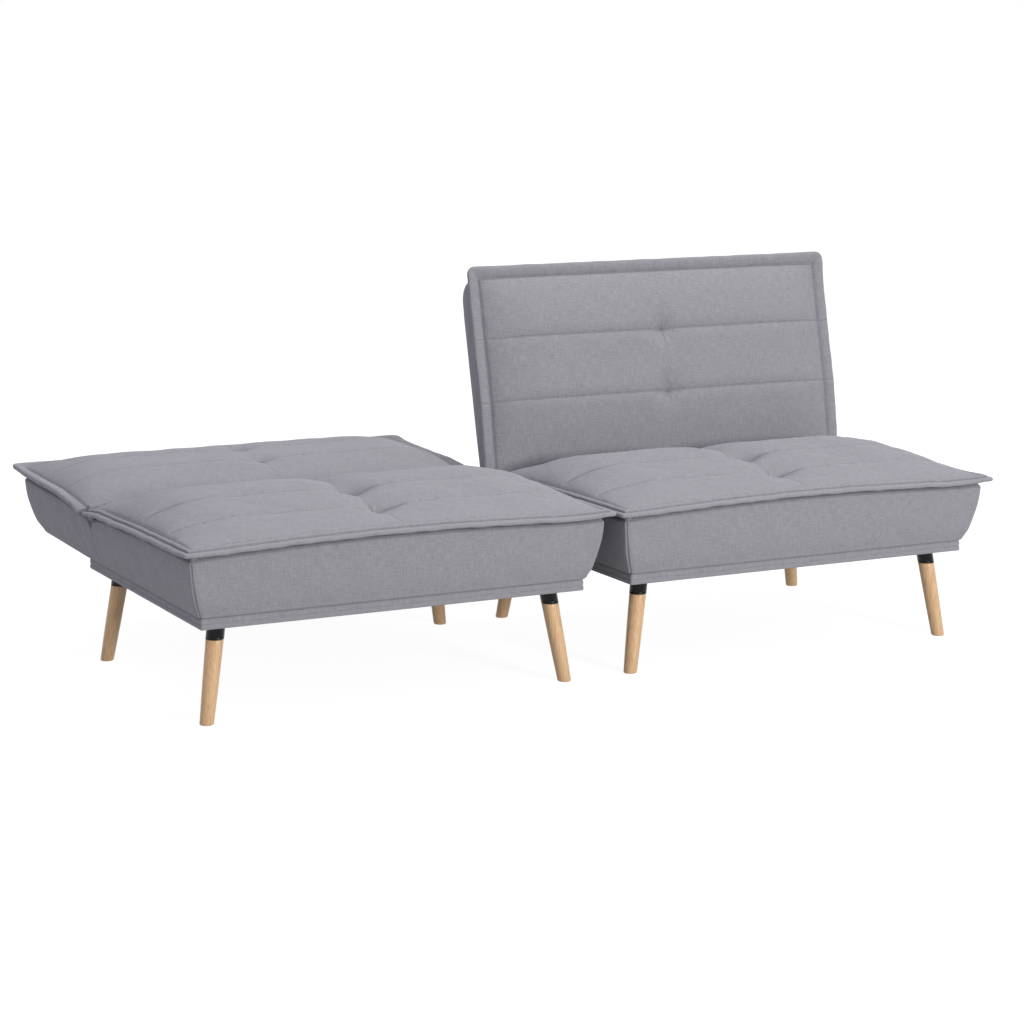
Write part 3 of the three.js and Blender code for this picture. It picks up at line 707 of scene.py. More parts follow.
FABRIC = HeatheredWeave()
THREAD = SewingThread()
FOAM = CutFoam()
PLYWOOD = LayeredPlywood()
BLACK_STEEL = PowderCoat()
ZINC = ZincPlate()
LINING = SpunLining()
ASH = WoodFinish(
    title="lacquered_ash", early="#e9c496", late="#c1935f", grain=2.2, roughness=0.42, coat=0.2)
PINE_ACROSS, PINE_ALONG = (
    WoodFinish(title=title, axis=axis, early="#e2c391", late="#bb8f57", grain=5)
    for title, axis in (("planed_pine_across", GrainAxis.ACROSS), ("planed_pine_along", GrainAxis.ALONG)))

# Quilted panels


@dataclass(frozen=True)
class PanelSizes:
    """Sizes of one quilted panel: lengths in mm, and powers and shares without a unit.

    Rows are the two seam rows. A reach says how far from its line something goes. The arches bow the
    flange's free edge and its left and right edges. A notch is the narrow dip right on a seam row.
    """

    length: float
    level: float
    rows: tuple[float, float]
    crown: float
    side_reach: float
    free_reach: float
    free_power: float
    joint_reach: float
    seam_depth: float
    seam_reach: float
    tuft_depth: float
    tuft_reach: float
    joint_gap: float
    seed: int
    free_arch: float
    left_arch: float
    right_arch: float
    corner_sink: float
    corner_rise: float
    joint_sink: float
    valley: float
    centre_share: float
    notch: float
    sink_reach: float
    sink_power: float
    side_power: float = 0.6
    arch_fade: float = 130.0
    bow_power: float = 1.2
    run_power: float = 1.4
    corner_reach: float = 150.0
    sink_end: float = 8.0
    crown_end: float = 15.0
    notch_reach: float = 9.0
    valley_width: float = 52.0

    def arch(self, across: np.ndarray, along: np.ndarray) -> np.ndarray:
        """How far the stuffing bows the flange up or down from its level.

        Half a sine wave from corner to corner, and another along each side; less a sink at the left
        corner and at the joint, and a rise at the right corner. All fade inwards.

        Args:
            across: Places from the left side, in mm.
            along: Places from the free edge, in mm, in the same shape.

        Returns:
            Heights in mm.
        """
        side = np.minimum(across, HALF_WIDTH - across)
        free = np.clip(across / HALF_WIDTH, 0, 1)
        run = np.clip(along / self.length, 0, 1) ** self.run_power
        fade_free = crease(np.clip(along - FLANGE_WIDTH, 0, None), self.arch_fade)
        fade_side = crease(np.clip(side - FLANGE_WIDTH, 0, None), self.arch_fade)
        bow = self.free_arch * np.sin(math.pi * free) ** self.bow_power * fade_free
        left = across < HALF_WIDTH / 2
        bow = bow + np.where(left, self.left_arch, self.right_arch) * np.sin(math.pi * run) * fade_side
        corner = crease(np.hypot(side, along), self.corner_reach)
        sink = np.where(left, self.corner_sink, -self.corner_rise) * corner
        before_joint = self.length - self.sink_end - along
        near_joint = np.clip(1 - before_joint / self.sink_reach, 0, 1) ** self.sink_power
        sink = sink + self.joint_sink * near_joint * fade_side ** 3
        return bow - sink

    def plain_level(self, along: np.ndarray) -> np.ndarray:
        """Height of a flat flange's middle: level, then down in a straight line to the joint."""
        share = np.clip((along - self.rows[1]) / (self.length - self.rows[1]), 0, 1)
        return self.level + (JOINT_LEVEL - self.level) * share

    def underside(self, along: np.ndarray) -> np.ndarray:
        """Height of the panel's flat underside, which clears the hinges' eyes at the joint."""
        return np.maximum(self.plain_level(along) - FLANGE_THICKNESS / 2, HINGE_HEIGHT + EYE_CLEARANCE)

    def flange_level(self, across: np.ndarray, along: np.ndarray) -> np.ndarray:
        """Height of the flange's middle, with its arch."""
        return self.plain_level(along) + self.arch(across, along)

    def seam_level(self, across: np.ndarray, along: np.ndarray) -> np.ndarray:
        """Height of the stitch line between crown and flange."""
        return self.flange_level(across, along) + FLANGE_THICKNESS / 2

    def crown_height(self, across: np.ndarray, along: np.ndarray) -> np.ndarray:
        """Height of the stuffed panel over its stitch line.

        The product of a rise from each side, from the free edge and from the joint, times the crown
        less what the nearest seam, tuft and notch and the valley along the centre line take away.

        Args:
            across: Places from the left side, in mm.
            along: Places from the free edge, in mm, in the same shape.

        Returns:
            Heights in mm.
        """
        width = HALF_WIDTH - FLANGE_WIDTH
        side = rise(across - FLANGE_WIDTH, self.side_reach, self.side_power) \
            * rise(width - across, self.side_reach, self.side_power)
        free = rise(along - FLANGE_WIDTH, self.free_reach, self.free_power)
        joint = rise(self.length - along - self.crown_end, self.joint_reach, 1)
        middle = across - HALF_WIDTH / 2
        away = [along - row for row in self.rows]
        centre = self.centre_share * crease(middle, self.seam_reach)
        seams = np.maximum.reduce([centre, *[crease(row, self.seam_reach) for row in away]])
        tufts = np.maximum.reduce([crease(np.hypot(middle, row), self.tuft_reach) for row in away])
        notches = np.maximum.reduce([crease(row, self.notch_reach) for row in away])
        sunk = self.seam_depth * seams + self.tuft_depth * tufts + self.notch * notches
        sunk = sunk + self.valley * bell(middle, self.valley_width)
        return side * free * joint * (self.crown - sunk)


SEAT_PANEL = PanelSizes(
    length=SEAT_DEPTH, level=355, rows=(162, 303), crown=50, side_reach=170, free_reach=380,
    free_power=0.8, joint_reach=215, seam_depth=11, seam_reach=40, tuft_depth=37, tuft_reach=84,
    joint_gap=16.6, seed=11, free_arch=12, left_arch=-3, right_arch=10, corner_sink=3, corner_rise=6,
    joint_sink=11, valley=7, centre_share=0.5, notch=3.5, sink_reach=90, sink_power=1.6)
BACK_PANEL = PanelSizes(
    length=BACK_LENGTH, level=357, rows=(160, 300), crown=32, side_reach=150, free_reach=130,
    free_power=0.6, joint_reach=170, seam_depth=3.5, seam_reach=24, tuft_depth=13, tuft_reach=58,
    joint_gap=1.5, seed=23, free_arch=1, left_arch=0, right_arch=0, corner_sink=0, corner_rise=2,
    joint_sink=11, valley=1.2, centre_share=0.12, notch=0.7, sink_reach=454, sink_power=0.5,
    side_power=0.8)


# Profiles of the double-stitched flange, from the stitch line over its outer edge to its underside:
# share of its reach, what is added to that in mm, and height over the stitch line in mm. The seat's
# has a step between its two rows of stitches, and the back's is one roll.
STEPPED_FLANGE = (
    (0, 1.5, -2.2), (0, 3.2, -0.2), (0.22, 0, 1.3), (0.32, 0, 1.6), (0.42, 0, 1.2), (0.48, 0, 0.1),
    (0.505, 0, -1.7), (0.49, 0, -3.4), (0.47, 0, -4.4), (0.5, 0, -4.8), (0.57, 0, -4.0),
    (0.7, 0, -3.3), (0.84, 0, -3.4), (1, -1.6, -4.4), (1, -0.4, -6.0), (1, 0, -8.0),
    (1, -0.4, -10.0), (1, -1.7, -11.6), (1, -4.5, -12.5), (1, -9, -12.0), (1, -14, -9.5))
ROLLED_FLANGE = (
    (0, 1.5, -3.6), (0, 3.2, -1.8), (0.2, 0, 0.6), (0.32, 0, 1.9), (0.45, 0, 2.6), (0.58, 0, 2.7),
    (0.7, 0, 2.2), (0.8, 0, 1.2), (0.88, 0, 0.0), (0.95, 0, -1.4), (1, -0.8, -2.8),
    (1, -0.2, -4.4), (1, 0, -6.6), (1, -0.5, -8.6), (1, -1.8, -10.2), (1, -4.5, -11.2), (1, -9, -11.0),
    (1, -14, -9.0))


@dataclass
class QuiltedPanel:
    """A stuffed panel with a double-stitched self flange, two seam rows, a sewn centre line and tufts.

    Lengths are in mm. Waves are the wave lengths of an unevenness. Ears are the flange's free corners.
    """

    name: str
    place: Place
    sizes: PanelSizes
    knuckle: bool = False
    corner_radius: float = 9.0
    step: float = 4.2
    flange_bow: float = -1.0
    flange_droop: float = 3.0
    corner_bow: float = 0.0
    waviness: float = 1.8
    ear_rise: float = 1.0
    ear_reach: float = 70.0
    fold: float = 4.0
    fold_drop: float = 5.0
    tuck: float = 24.5
    corner_steps: int = 8
    groove_depth: float = 1.9
    groove_width: float = 1.7
    rim_groove: float = 2.2
    row_dip: float = 1.1
    unevenness: float = 1.0
    row_pucker: float = 0.8
    row_waves: tuple[float, ...] = (13, 19, 31, 47)
    centre_pucker: float = 0.45
    centre_waves: tuple[float, ...] = (12, 17, 29)
    rim_pucker: float = 0.9
    rim_waves: tuple[float, ...] = (17, 26, 39)
    rim_slant: float = 1.3
    tuft_fold: float = 1.9
    tuft_ring: float = 16.0
    tuft_spread: float = 22.0
    tuft_dent: float = 2.2
    tuft_radius: float = 5.0
    soft_lumps: tuple[tuple[float, float], ...] = ((1.2, 120), (0.45, 45))
    edge_waves: tuple[float, ...] = (61, 97, 143)
    droop_waves: tuple[float, ...] = (53, 88, 171)
    roll_waves: tuple[float, ...] = (11, 17, 23)
    bar_waves: tuple[float, ...] = (23, 41, 67)
    bar_inset: float = 18.0
    bar_rounding: float = 1.4
    bridge_gap: float = 0.15
    end_rings: tuple[tuple[float, float], ...] = ((0.25, 0.04), (0.6, 0.14), (0.9, 0.32))
    stitch_pitch: float = 5.2
    stitch_length: float = 3.9
    stitch_radius: float = 0.45
    profile: tuple[tuple[float, float, float], ...] = STEPPED_FLANGE

    def height(self, across: np.ndarray, along: np.ndarray) -> np.ndarray:
        """Height of the top: stitch line, crown, needle grooves, puckers along seams and soft lumps.

        A groove is a bell curve across its seam. Puckers are short waves along the seam that fade
        with the distance from it, and folds run out from each tuft like spokes that fade outwards:
        cosines of 5, 7 and 11 times the angle. Waves and lumps fade out towards the joint.

        Args:
            across: Places from the left side, in mm.
            along: Places from the free edge, in mm, in the same shape.

        Returns:
            Heights over the floor in mm.
        """
        s = self.sizes
        end = s.length - s.joint_gap
        rim = np.minimum.reduce([
            across - FLANGE_WIDTH, HALF_WIDTH - FLANGE_WIDTH - across, along - FLANGE_WIDTH])
        calm = smooth_step(end - along, 18, 60)
        inner = smooth_step(rim, 0, 14)
        middle = across - HALF_WIDTH / 2
        top = s.seam_level(across, along) + s.crown_height(across, along)
        top -= self.rim_groove * bell(rim, self.groove_width * 1.5)
        for k, row in enumerate(s.rows):
            away = along - row
            top -= self.groove_depth * 0.9 * bell(away, self.groove_width) * inner
            top += calm * inner * self.row_pucker * bell(away, 11) * (1 - bell(away, 3)) \
                * wave_sum(across, self.row_waves, s.seed + k)
            distance = np.hypot(middle, away)
            angle = np.arctan2(away, middle)
            folds = sum(np.cos(n * angle + p) for n, p in ((5, 0.4 + k), (7, 2.1), (11, 4.4 + k))) / 3
            top += calm * self.tuft_fold * folds * bell(distance - self.tuft_ring, self.tuft_spread) \
                * (1 - bell(distance, 6))
            top -= self.tuft_dent * bell(distance, self.tuft_radius)
        top -= self.groove_depth * 0.45 * bell(middle, self.groove_width) * inner * calm
        top += calm * inner * self.centre_pucker * bell(middle, 10) \
            * wave_sum(along, self.centre_waves, s.seed + 5)
        uneven = self.unevenness * calm
        top += uneven * inner * self.rim_pucker * bell(rim - 9, 9) \
            * wave_sum(across + self.rim_slant * along, self.rim_waves, s.seed + 6)
        soft = sum(high * lumps(across, along, length, seed)
                   for seed, (high, length) in enumerate(self.soft_lumps, s.seed + 7))
        return top + uneven * smooth_step(rim, 6, 60) * soft

    def build(self) -> list[bpy.types.Object]:
        """Makes the panel and its stitching.

        Returns:
            The quilted panel and the piece with its stitches.
        """
        s = self.sizes
        low, high = FLANGE_WIDTH, HALF_WIDTH - FLANGE_WIDTH
        end = s.length - s.joint_gap
        across = stations(low, high, self.step, (low, HALF_WIDTH / 2, high))
        along = stations(low, end, self.step, (low, *s.rows))
        grid = np.stack(np.meshgrid(across, along), -1)
        x, y = grid[..., 0], grid[..., 1]
        surface = Surface()
        top = np.dstack([x, y, self.height(x, y)])
        surface.grid(top, grid)

        loops, flat = self._flange(top)
        surface.grid(loops, flat)
        rows = len(along)
        left, right = loops[-1, :rows][::-1], loops[-1, -rows:]
        free = loops[-1, rows - 1:len(loops[-1]) - rows + 1]
        split = int(np.searchsorted(along, s.rows[1]))
        surface.cap(np.concatenate([free, right[1:split + 1], left[1:split + 1][::-1]]))

        # The end at the joint: a few rings that close in past it, a flat face, and one underneath.
        edge = np.concatenate([loops[1:, 0][::-1], top[-1], loops[1:, -1]])
        rounded = [edge]
        core = s.flange_level(edge[:, 0], edge[:, 1])
        core[[0, -1]] = edge[[0, -1], 2]
        for back, shrink in self.end_rings:
            ring = edge.copy()
            ring[:, 1] += back
            ring[:, 2] += (core - ring[:, 2]) * shrink
            rounded.append(ring)
        surface.grid(np.stack(rounded), np.stack(rounded)[..., :2])
        surface.cap(rounded[-1], rounded[-1][:, [0, 2]])
        ends = [ring[[0, -1]] for ring in rounded[1:]]
        surface.cap(np.concatenate([right[split:], [pair[1] for pair in ends],
                                    [pair[0] for pair in ends][::-1], left[split:][::-1]]))
        if self.knuckle:
            self._knuckle(surface)
        piece = surface.build(self.name, self.place)
        FABRIC.put_on(piece)
        stitching = self._stitches()
        THREAD.put_on(stitching)
        return [piece, stitching]

    def _flange(self, top: np.ndarray) -> tuple[np.ndarray, np.ndarray]:
        """Carries the flange's profile along the stitch line to make the flange and the underside.

        The line runs down the left side, across the free edge and up the right side. The outer edge
        droops or rises, less at the corners. There the stitch line's corner point is repeated, and
        the directions fan out from it to make the round corner. The underside is tucked in flat
        behind the stitch line. Unevenness is a sum of waves along the line that fades out towards
        the joint.

        Args:
            top: The top's grid of points.

        Returns:
            The loops of points, profile by path, and their UV places.
        """
        s = self.sizes
        turn = np.linspace(0, 2, self.corner_steps + 1)[:, None]
        fan = np.concatenate([-np.minimum(1, 2 - turn), -np.minimum(1, turn)], axis=1)
        extra = np.ones((self.corner_steps, 1))
        rim = np.concatenate([
            top[::-1, 0], top[0, 0] * extra, top[0, 1:-1], top[0, -1] * extra, top[:, -1]])
        sides, free = np.ones((len(top), 1)), np.ones((top.shape[1] - 2, 1))
        out = np.concatenate([
            sides * (-1, 0), fan[1:], free * (0, -1), (fan * (-1, 1))[:0:-1], sides * (1, 0)])
        x, y = rim[:, 0], rim[:, 1]
        from_side = np.minimum(x, HALF_WIDTH - x) - FLANGE_WIDTH
        ear = np.clip(1 - np.hypot(from_side, y - FLANGE_WIDTH) / self.ear_reach, 0, 1) ** 2
        run = line_run(rim[:, :2])
        calm = smooth_step(s.length - s.joint_gap - y, 5, 60)
        wave = 0.7 * self.waviness
        reach = FLANGE_WIDTH + self.corner_bow * ear - self.flange_bow * (1 - ear) + calm * (1 - ear) * (
            wave * wave_sum(run, self.edge_waves, s.seed + 9) - 0.4)
        droop = calm * (1 - 0.6 * ear) * (
            wave * wave_sum(run, self.droop_waves, s.seed + 10) - self.flange_droop)
        level = s.seam_level(x, y)
        rounded = calm * 0.35 * wave_sum(run, self.roll_waves, s.seed + 12)
        rounded = rounded - self.row_dip * sum(bell(y - row, self.groove_width) for row in s.rows)
        loops, flat = [rim], [rim[:, :2]]
        for share, inset, up in self.profile:
            offset = reach * share + inset
            lift = (offset / reach) ** 1.5 * (self.ear_rise * ear + droop)
            lift = lift + (rounded if 0 < share < 0.9 else 0)
            point = rim[:, :2] + out * offset[:, None]
            point = self._round_corner(point, FLANGE_WIDTH - offset)
            loops.append(np.column_stack([point, level + up + lift]))
            flat.append(rim[:, :2] + out * (abs(offset) + max(0.0, -up))[:, None])
        for depth, flat_reach in ((self.fold, 1.7), (self.tuck, 2.4)):
            inner = FLANGE_WIDTH + depth
            across = np.clip(x, inner, HALF_WIDTH - inner)
            along = np.clip(y, inner, None)
            fold_level = s.flange_level(across, along) - self.fold_drop
            under = s.underside(along) if depth == self.tuck else fold_level
            loops.append(np.column_stack([across, along, under]))
            flat.append(rim[:, :2] + out * flat_reach * reach[:, None])
        return np.stack(loops), np.stack(flat)

    def _round_corner(self, point: np.ndarray, inset: np.ndarray) -> np.ndarray:
        """Pulls points that lie outside a free corner's circle back onto it.

        Args:
            point: Places across and along.
            inset: How far each lies inside the flange's outer edge.

        Returns:
            The places, rounded.
        """
        radius, middle = self.corner_radius, HALF_WIDTH / 2
        side = middle - np.abs(point[:, 0] - middle)
        away = np.stack([radius - side, radius - point[:, 1]], -1)
        reach = np.hypot(*np.clip(away, 0, None).T)
        limit = np.clip(radius - inset, 0, None)
        beyond = (away > 0).all(axis=1) & (reach > limit)
        kept = away * np.where(beyond, limit / np.maximum(reach, 1e-6), 1)[:, None]
        across = middle + np.sign(point[:, 0] - middle) * (middle - radius + kept[:, 0])
        return np.stack([across, radius - kept[:, 1]], -1)

    def _knuckle(self, surface: Surface) -> None:
        """Adds the roll that turns in the joint: round bars on the hinge line, cut off over the hinges.

        A bar is a circle of the knuckle's radius carried across, rounded at its ends. Over a hinge it
        is only the circle's upper part, closed by its chord above the hinge's eye.

        Args:
            surface: The surface that the bars are added to.
        """
        breaks = [(self.bar_inset, SLOT_LOW), (SLOT_HIGH, HALF_WIDTH - SLOT_HIGH),
                  (HALF_WIDTH - SLOT_LOW, HALF_WIDTH - self.bar_inset)]
        angles = np.radians(np.linspace(0, 360, 73))
        for low, high in breaks:
            inner = np.linspace(low + 4, high - 4, 40)
            places = np.array([low, low + 0.5, low + 1.6, *inner, high - 1.6, high - 0.5, high])
            shrink = np.minimum(places - low, high - places)
            radius = KNUCKLE_RADIUS - self.bar_rounding * (1 - np.clip(shrink / 1.6, 0, 1)) ** 2
            uneven = 1 + wave_sum(places, self.bar_waves, self.sizes.seed + 14)
            radius = radius - 0.25 * uneven * (shrink > 3)
            y = BACK_LENGTH + radius[:, None] * np.cos(angles)
            z = HINGE_HEIGHT + radius[:, None] * np.sin(angles)
            points = np.dstack([np.broadcast_to(places[:, None], y.shape), y, z])
            flat = np.dstack([points[..., 0], np.broadcast_to(angles * KNUCKLE_RADIUS, y.shape)])
            surface.grid(points, flat)
            surface.cap(points[0, :-1], points[0, :-1, 1:])
            surface.cap(points[-1, :-1], points[-1, :-1, 1:])
        outer = KNUCKLE_RADIUS - self.bridge_gap
        first = math.asin(EYE_CLEARANCE / outer)
        bridge = np.linspace(first, math.pi - first, 15)
        arc = np.stack([BACK_LENGTH + outer * np.cos(bridge), HINGE_HEIGHT + outer * np.sin(bridge)], -1)
        for ends in both_sides(SLOT_LOW - SLOT_MARGIN, SLOT_HIGH + SLOT_MARGIN):
            surface.bar(np.stack([np.column_stack([np.full(len(arc), at), arc]) for at in ends]))

    def _stitches(self) -> bpy.types.Object:
        """Lays short stitches in the grooves: along both rows, the centre line and the flange.

        Each stitch is a six-sided bar whose middle stands proud and whose ends dive into the cloth.

        Returns:
            The piece with all stitches.
        """
        s = self.sizes
        pitch = self.stitch_pitch
        low, high = FLANGE_WIDTH, HALF_WIDTH - FLANGE_WIDTH
        end = s.length - s.joint_gap - 14
        # The centre line's stitches leave out the rows, and the flange's lie just inside its groove.
        centre = np.arange(low + 6, end, pitch)
        centre = centre[np.min([np.abs(centre - row) for row in s.rows], axis=0) > 6]
        side = np.arange(low + 3, end, pitch)
        ways = (np.array([1.0, 0.0]), np.array([0.0, 1.0]))
        lines = [
            *[(np.arange(low + 6, high - 6, pitch), row, 0) for row in s.rows], (centre, HALF_WIDTH / 2, 1),
            (side, low + 0.4, 1), (side, high - 0.4, 1), (np.arange(low + 3, high - 6, pitch), low + 0.4, 0)]
        start = np.concatenate([
            places[:, None] * ways[way] + level * ways[1 - way] for places, level, way in lines])
        step = np.concatenate([np.tile(ways[way], (len(places), 1)) for places, _, way in lines])

        share = np.array([0, 0.18, 0.5, 0.82, 1])
        proud = np.array([-0.5, 0.15, 0.4, 0.15, -0.5])
        thick = np.array([0.5, 0.9, 1, 0.9, 0.5]) * self.stitch_radius
        turn = np.radians(np.arange(6) * 60)
        centre = start[:, None] + step[:, None] * (share * self.stitch_length)[:, None]
        level = self.height(centre[..., 0], centre[..., 1]) + proud
        normal = np.stack([-step[:, 1], step[:, 0]], -1)
        around = thick[:, None] * np.cos(turn)
        up = thick[:, None] * np.sin(turn)
        flat = centre[:, :, None] + normal[:, None, None] * around[None, :, :, None]
        points = np.concatenate([flat, (level[:, :, None] + up)[..., None]], -1)
        count, rings, sides = points.shape[:3]
        index = np.arange(count * rings * sides).reshape(count, rings, sides)
        nxt = np.roll(index, -1, axis=2)
        quads = np.stack([index[:, :-1], nxt[:, :-1], nxt[:, 1:], index[:, 1:]], -1).reshape(-1, 4)
        caps = np.concatenate([index[:, 0, ::-1], index[:, -1]])
        mesh = bpy.data.meshes.new(self.name.replace("quilt", "stitching"))
        mesh.from_pydata(self.place.put(points.reshape(-1, 3)).tolist(), [], quads.tolist() + caps.tolist())
        if self.place.mirrored:
            mesh.flip_normals()
        mesh.shade_smooth()
        return link_object(mesh.name, mesh)


# Walls


@dataclass
class WallCover:
    """The sewn walls of a seat or a back, hung under the flange round the foam. Lengths are in mm.

    The shares say how far a wall is on its way from its top inset to its deepest inset at each of the
    drop shares. The free wall has its own ones. Gathers are short waves under the flange.
    """

    name: str
    place: Place
    sizes: PanelSizes
    far_shares: tuple[float, ...]
    far_inset: float
    joint_inset: float
    underside: bool
    slots: tuple[tuple[float, float], ...]
    slot_bottom: float
    hollow: float
    top_inset: float = 16.0
    side_inset: float = 46.0
    corner_radius: float = 14.0
    drop_shares: tuple[float, ...] = (0, 0.25, 0.5, 0.75, 0.9, 1)
    side_shares: tuple[float, ...] = (0, 0.07, 0.23, 0.5, 0.73, 1)
    edge_radius: float = 4.0
    recess: float = 14.0
    recess_drop: float = 11.5
    recess_width: float = 4.6
    down_steps: int = 24
    cloth: float = 1.6
    corner_run: float = 22.0
    seam_rise: float = 1.3
    seam_dip: float = 0.8
    gather_depth: float = 0.8
    gather_reach: float = 26.0
    gather_waves: tuple[float, ...] = (14, 21, 33)
    lump_depth: float = 0.9
    lump_length: float = 90.0
    floor_lift: float = 0.9
    floor_lump_depth: float = 0.5
    floor_lump_length: float = 110.0

    def top(self, across: np.ndarray, along: np.ndarray) -> np.ndarray:
        """Height of the wall's top edge: just under the flange, cut round the hinge line at the joint.

        Args:
            across: Places from the left side, in mm.
            along: Places from the free edge, in mm, in the same shape.

        Returns:
            Heights over the floor in mm.
        """
        under = self.sizes.flange_level(across, along) - FLANGE_THICKNESS / 2 - TOUCH_GAP
        near = np.clip(self.sizes.length - along, 0, None)
        cut = HINGE_HEIGHT - np.sqrt(np.clip(self.hollow ** 2 - near ** 2, 0, None))
        return np.where(near < self.hollow, np.minimum(under, cut), under)

    def bottom(self, along: np.ndarray) -> np.ndarray:
        """Height of the wall's bottom edge: flat for a seat, rising to the free edge for a back.

        Args:
            along: Places from the free edge, in mm.

        Returns:
            Heights over the floor in mm.
        """
        if not self.underside:
            return np.full_like(along, BODY_BOTTOM)
        return BODY_BOTTOM + UNDERSIDE_RISE * np.clip(1 - along / REST_EDGE, 0, None)

    def inset(self, along: np.ndarray, z: np.ndarray, shares: tuple[float, ...],
              deepest: float) -> np.ndarray:
        """How far the wall stands inside the flange edge at a height.

        The share of the drop is looked up in the shares three times a little apart and averaged,
        which rounds the corners of the CAD profile. The bottom edge adds a quarter round.

        Args:
            along: Places from the free edge, in mm.
            z: Heights over the floor in mm.
            shares: The wall's shares.
            deepest: Its deepest inset.

        Returns:
            Insets in mm.
        """
        top = self.sizes.level - FLANGE_THICKNESS / 2 - TOUCH_GAP
        low = self.bottom(along)
        drop = np.clip((top - z) / (top - low), 0, 1)
        share = sum(np.interp(drop + d, self.drop_shares, shares) for d in (-0.07, 0, 0.07)) / 3
        height = np.clip(z - low, 0, self.edge_radius)
        round_off = self.edge_radius - np.sqrt(self.edge_radius ** 2 - (self.edge_radius - height) ** 2)
        return self.top_inset + (deepest - self.top_inset) * share + round_off

    def build(self) -> bpy.types.Object:
        """Makes the walls as one sheet and gives it the cloth's thickness inwards.

        Returns:
            The piece.
        """
        s = self.sizes
        joint = s.length - self.joint_inset
        # More rows where the recess under the flange and the bottom's quarter round turn fast.
        fine = [0.02, 0.06, 0.075, 0.1, 0.11, 0.14, 0.15, 0.16, 0.94, 0.955, 0.97, 0.985, 0.995]
        drop = np.unique(np.concatenate([np.linspace(0, 1, self.down_steps), fine]))
        # More columns beside the joint, where the top edge is cut round the hinge line.
        at_cut = (s.length - 15.7 - joint) / -joint
        side_t = np.unique(np.concatenate([np.linspace(0, 1, 96), np.arange(0, 17, 1.5) / joint, [at_cut]]))
        corner_t = np.linspace(0, 1, 17)
        front_t = self._front_shares()
        left = self._side(drop, side_t, joint)
        corner = self._corner(drop, corner_t)
        front = self._front(drop, front_t)
        ring = np.concatenate([left, corner[:, 1:], front[:, 1:]], axis=1)
        mirror = ring[:, :len(left[0]) + len(corner[0]) - 1][:, ::-1].copy()
        mirror[..., 0] = HALF_WIDTH - mirror[..., 0]
        ring = np.concatenate([ring, mirror[:, 1:]], axis=1)
        self._pucker(ring)
        flat = np.dstack([np.broadcast_to(line_run(ring[0, :, :2]), ring.shape[:2]), ring[..., 2]])
        surface = Surface()
        surface.grid(ring, flat)
        self._joint_wall(surface, ring, front_t)
        if self.underside:
            self._floor(surface, ring[-1], len(left[0]) + len(corner[0]) - 1, front_t)
        piece = surface.build(self.name, self.place, outward=False)
        self._face_out(piece)
        thick = piece.modifiers.new("cloth thickness", "SOLIDIFY")
        thick.thickness = self.cloth * MM
        thick.offset = -1
        FABRIC.put_on(piece)
        return piece

    def _front_shares(self) -> np.ndarray:
        """Where the front and joint walls have points, the slots' edges among them.

        Returns:
            Shares of the way across.
        """
        marks = [m / HALF_WIDTH for low, high in self.slots for m in (low, high)]
        marks += [1 - m for m in marks]
        return np.unique(np.round(np.concatenate([np.linspace(0, 1, 141), marks]), 6))

    def _side(self, drop: np.ndarray, share: np.ndarray, joint: float) -> np.ndarray:
        """The left wall: rows down and columns from the joint to the corner, inset by its height.

        Args:
            drop: Shares of the way down.
            share: Shares of the way from the joint to the corner.
            joint: Place along of its end at the joint.

        Returns:
            Rows by columns by 3, in mm.
        """
        corner = self._free_inset(drop) + self.corner_radius
        along = joint + share[None, :] * (corner[:, None] - joint)
        z = self._level(np.zeros_like(along), along, drop)
        return np.dstack([self.inset(along, z, self.side_shares, self.side_inset), along, z])

    def _level(self, across: np.ndarray, along: np.ndarray, drop: np.ndarray) -> np.ndarray:
        """Heights at each share of the drop from the wall's top edge to its bottom edge."""
        top = self.top(across, along)
        return top + (self.bottom(along) - top) * drop[:, None]

    def _free_inset(self, drop: np.ndarray) -> np.ndarray:
        """Inset of the free wall at each row, measured at the corner.

        Args:
            drop: Shares of the way down.

        Returns:
            Insets in mm.
        """
        along = np.full_like(drop, self.top_inset)
        top = self.sizes.level - FLANGE_THICKNESS / 2 - TOUCH_GAP
        z = top + (self.bottom(along) - top) * drop
        return self.inset(along, z, self.far_shares, self.far_inset)

    def _corner(self, drop: np.ndarray, share: np.ndarray) -> np.ndarray:
        """The left free corner: a quarter turn about a centre one radius in from both walls.

        The corner's seam sinks by one bell curve, and the cloth beside it rises by another.

        Args:
            drop: Shares of the way down.
            share: Shares of the way round the corner.

        Returns:
            Rows by columns by 3, in mm.
        """
        free = self._free_inset(drop)[:, None]
        turn = math.pi + share[None, :] * math.pi / 2
        radius = self.corner_radius
        along = free + radius + radius * np.sin(turn)
        z = self._level(np.zeros_like(along), along, drop)
        side = self.inset(along, z, self.side_shares, self.side_inset)
        beside = (share - 0.5) * self.corner_run
        seam = self.seam_rise * bell(beside, 1.2) - self.seam_dip * bell(np.abs(beside) - 3.4, 1.4)
        shrink = radius - seam[None, :]
        across = side + radius + shrink * np.cos(turn)
        along = free + radius + shrink * np.sin(turn)
        return np.dstack([across, along, z])

    def _front(self, drop: np.ndarray, share: np.ndarray) -> np.ndarray:
        """The free wall between the corners.

        Args:
            drop: Shares of the way down.
            share: Shares of the way across.

        Returns:
            Rows by columns by 3, in mm.
        """
        free = self._free_inset(drop)[:, None]
        along = np.broadcast_to(free, (len(drop), len(share)))
        z = self._level(np.broadcast_to(share[None, :] * HALF_WIDTH, along.shape), along, drop)
        start = self.inset(along, z, self.side_shares, self.side_inset) + self.corner_radius
        across = start + share[None, :] * (HALF_WIDTH - 2 * start)
        return np.dstack([across, along, z])

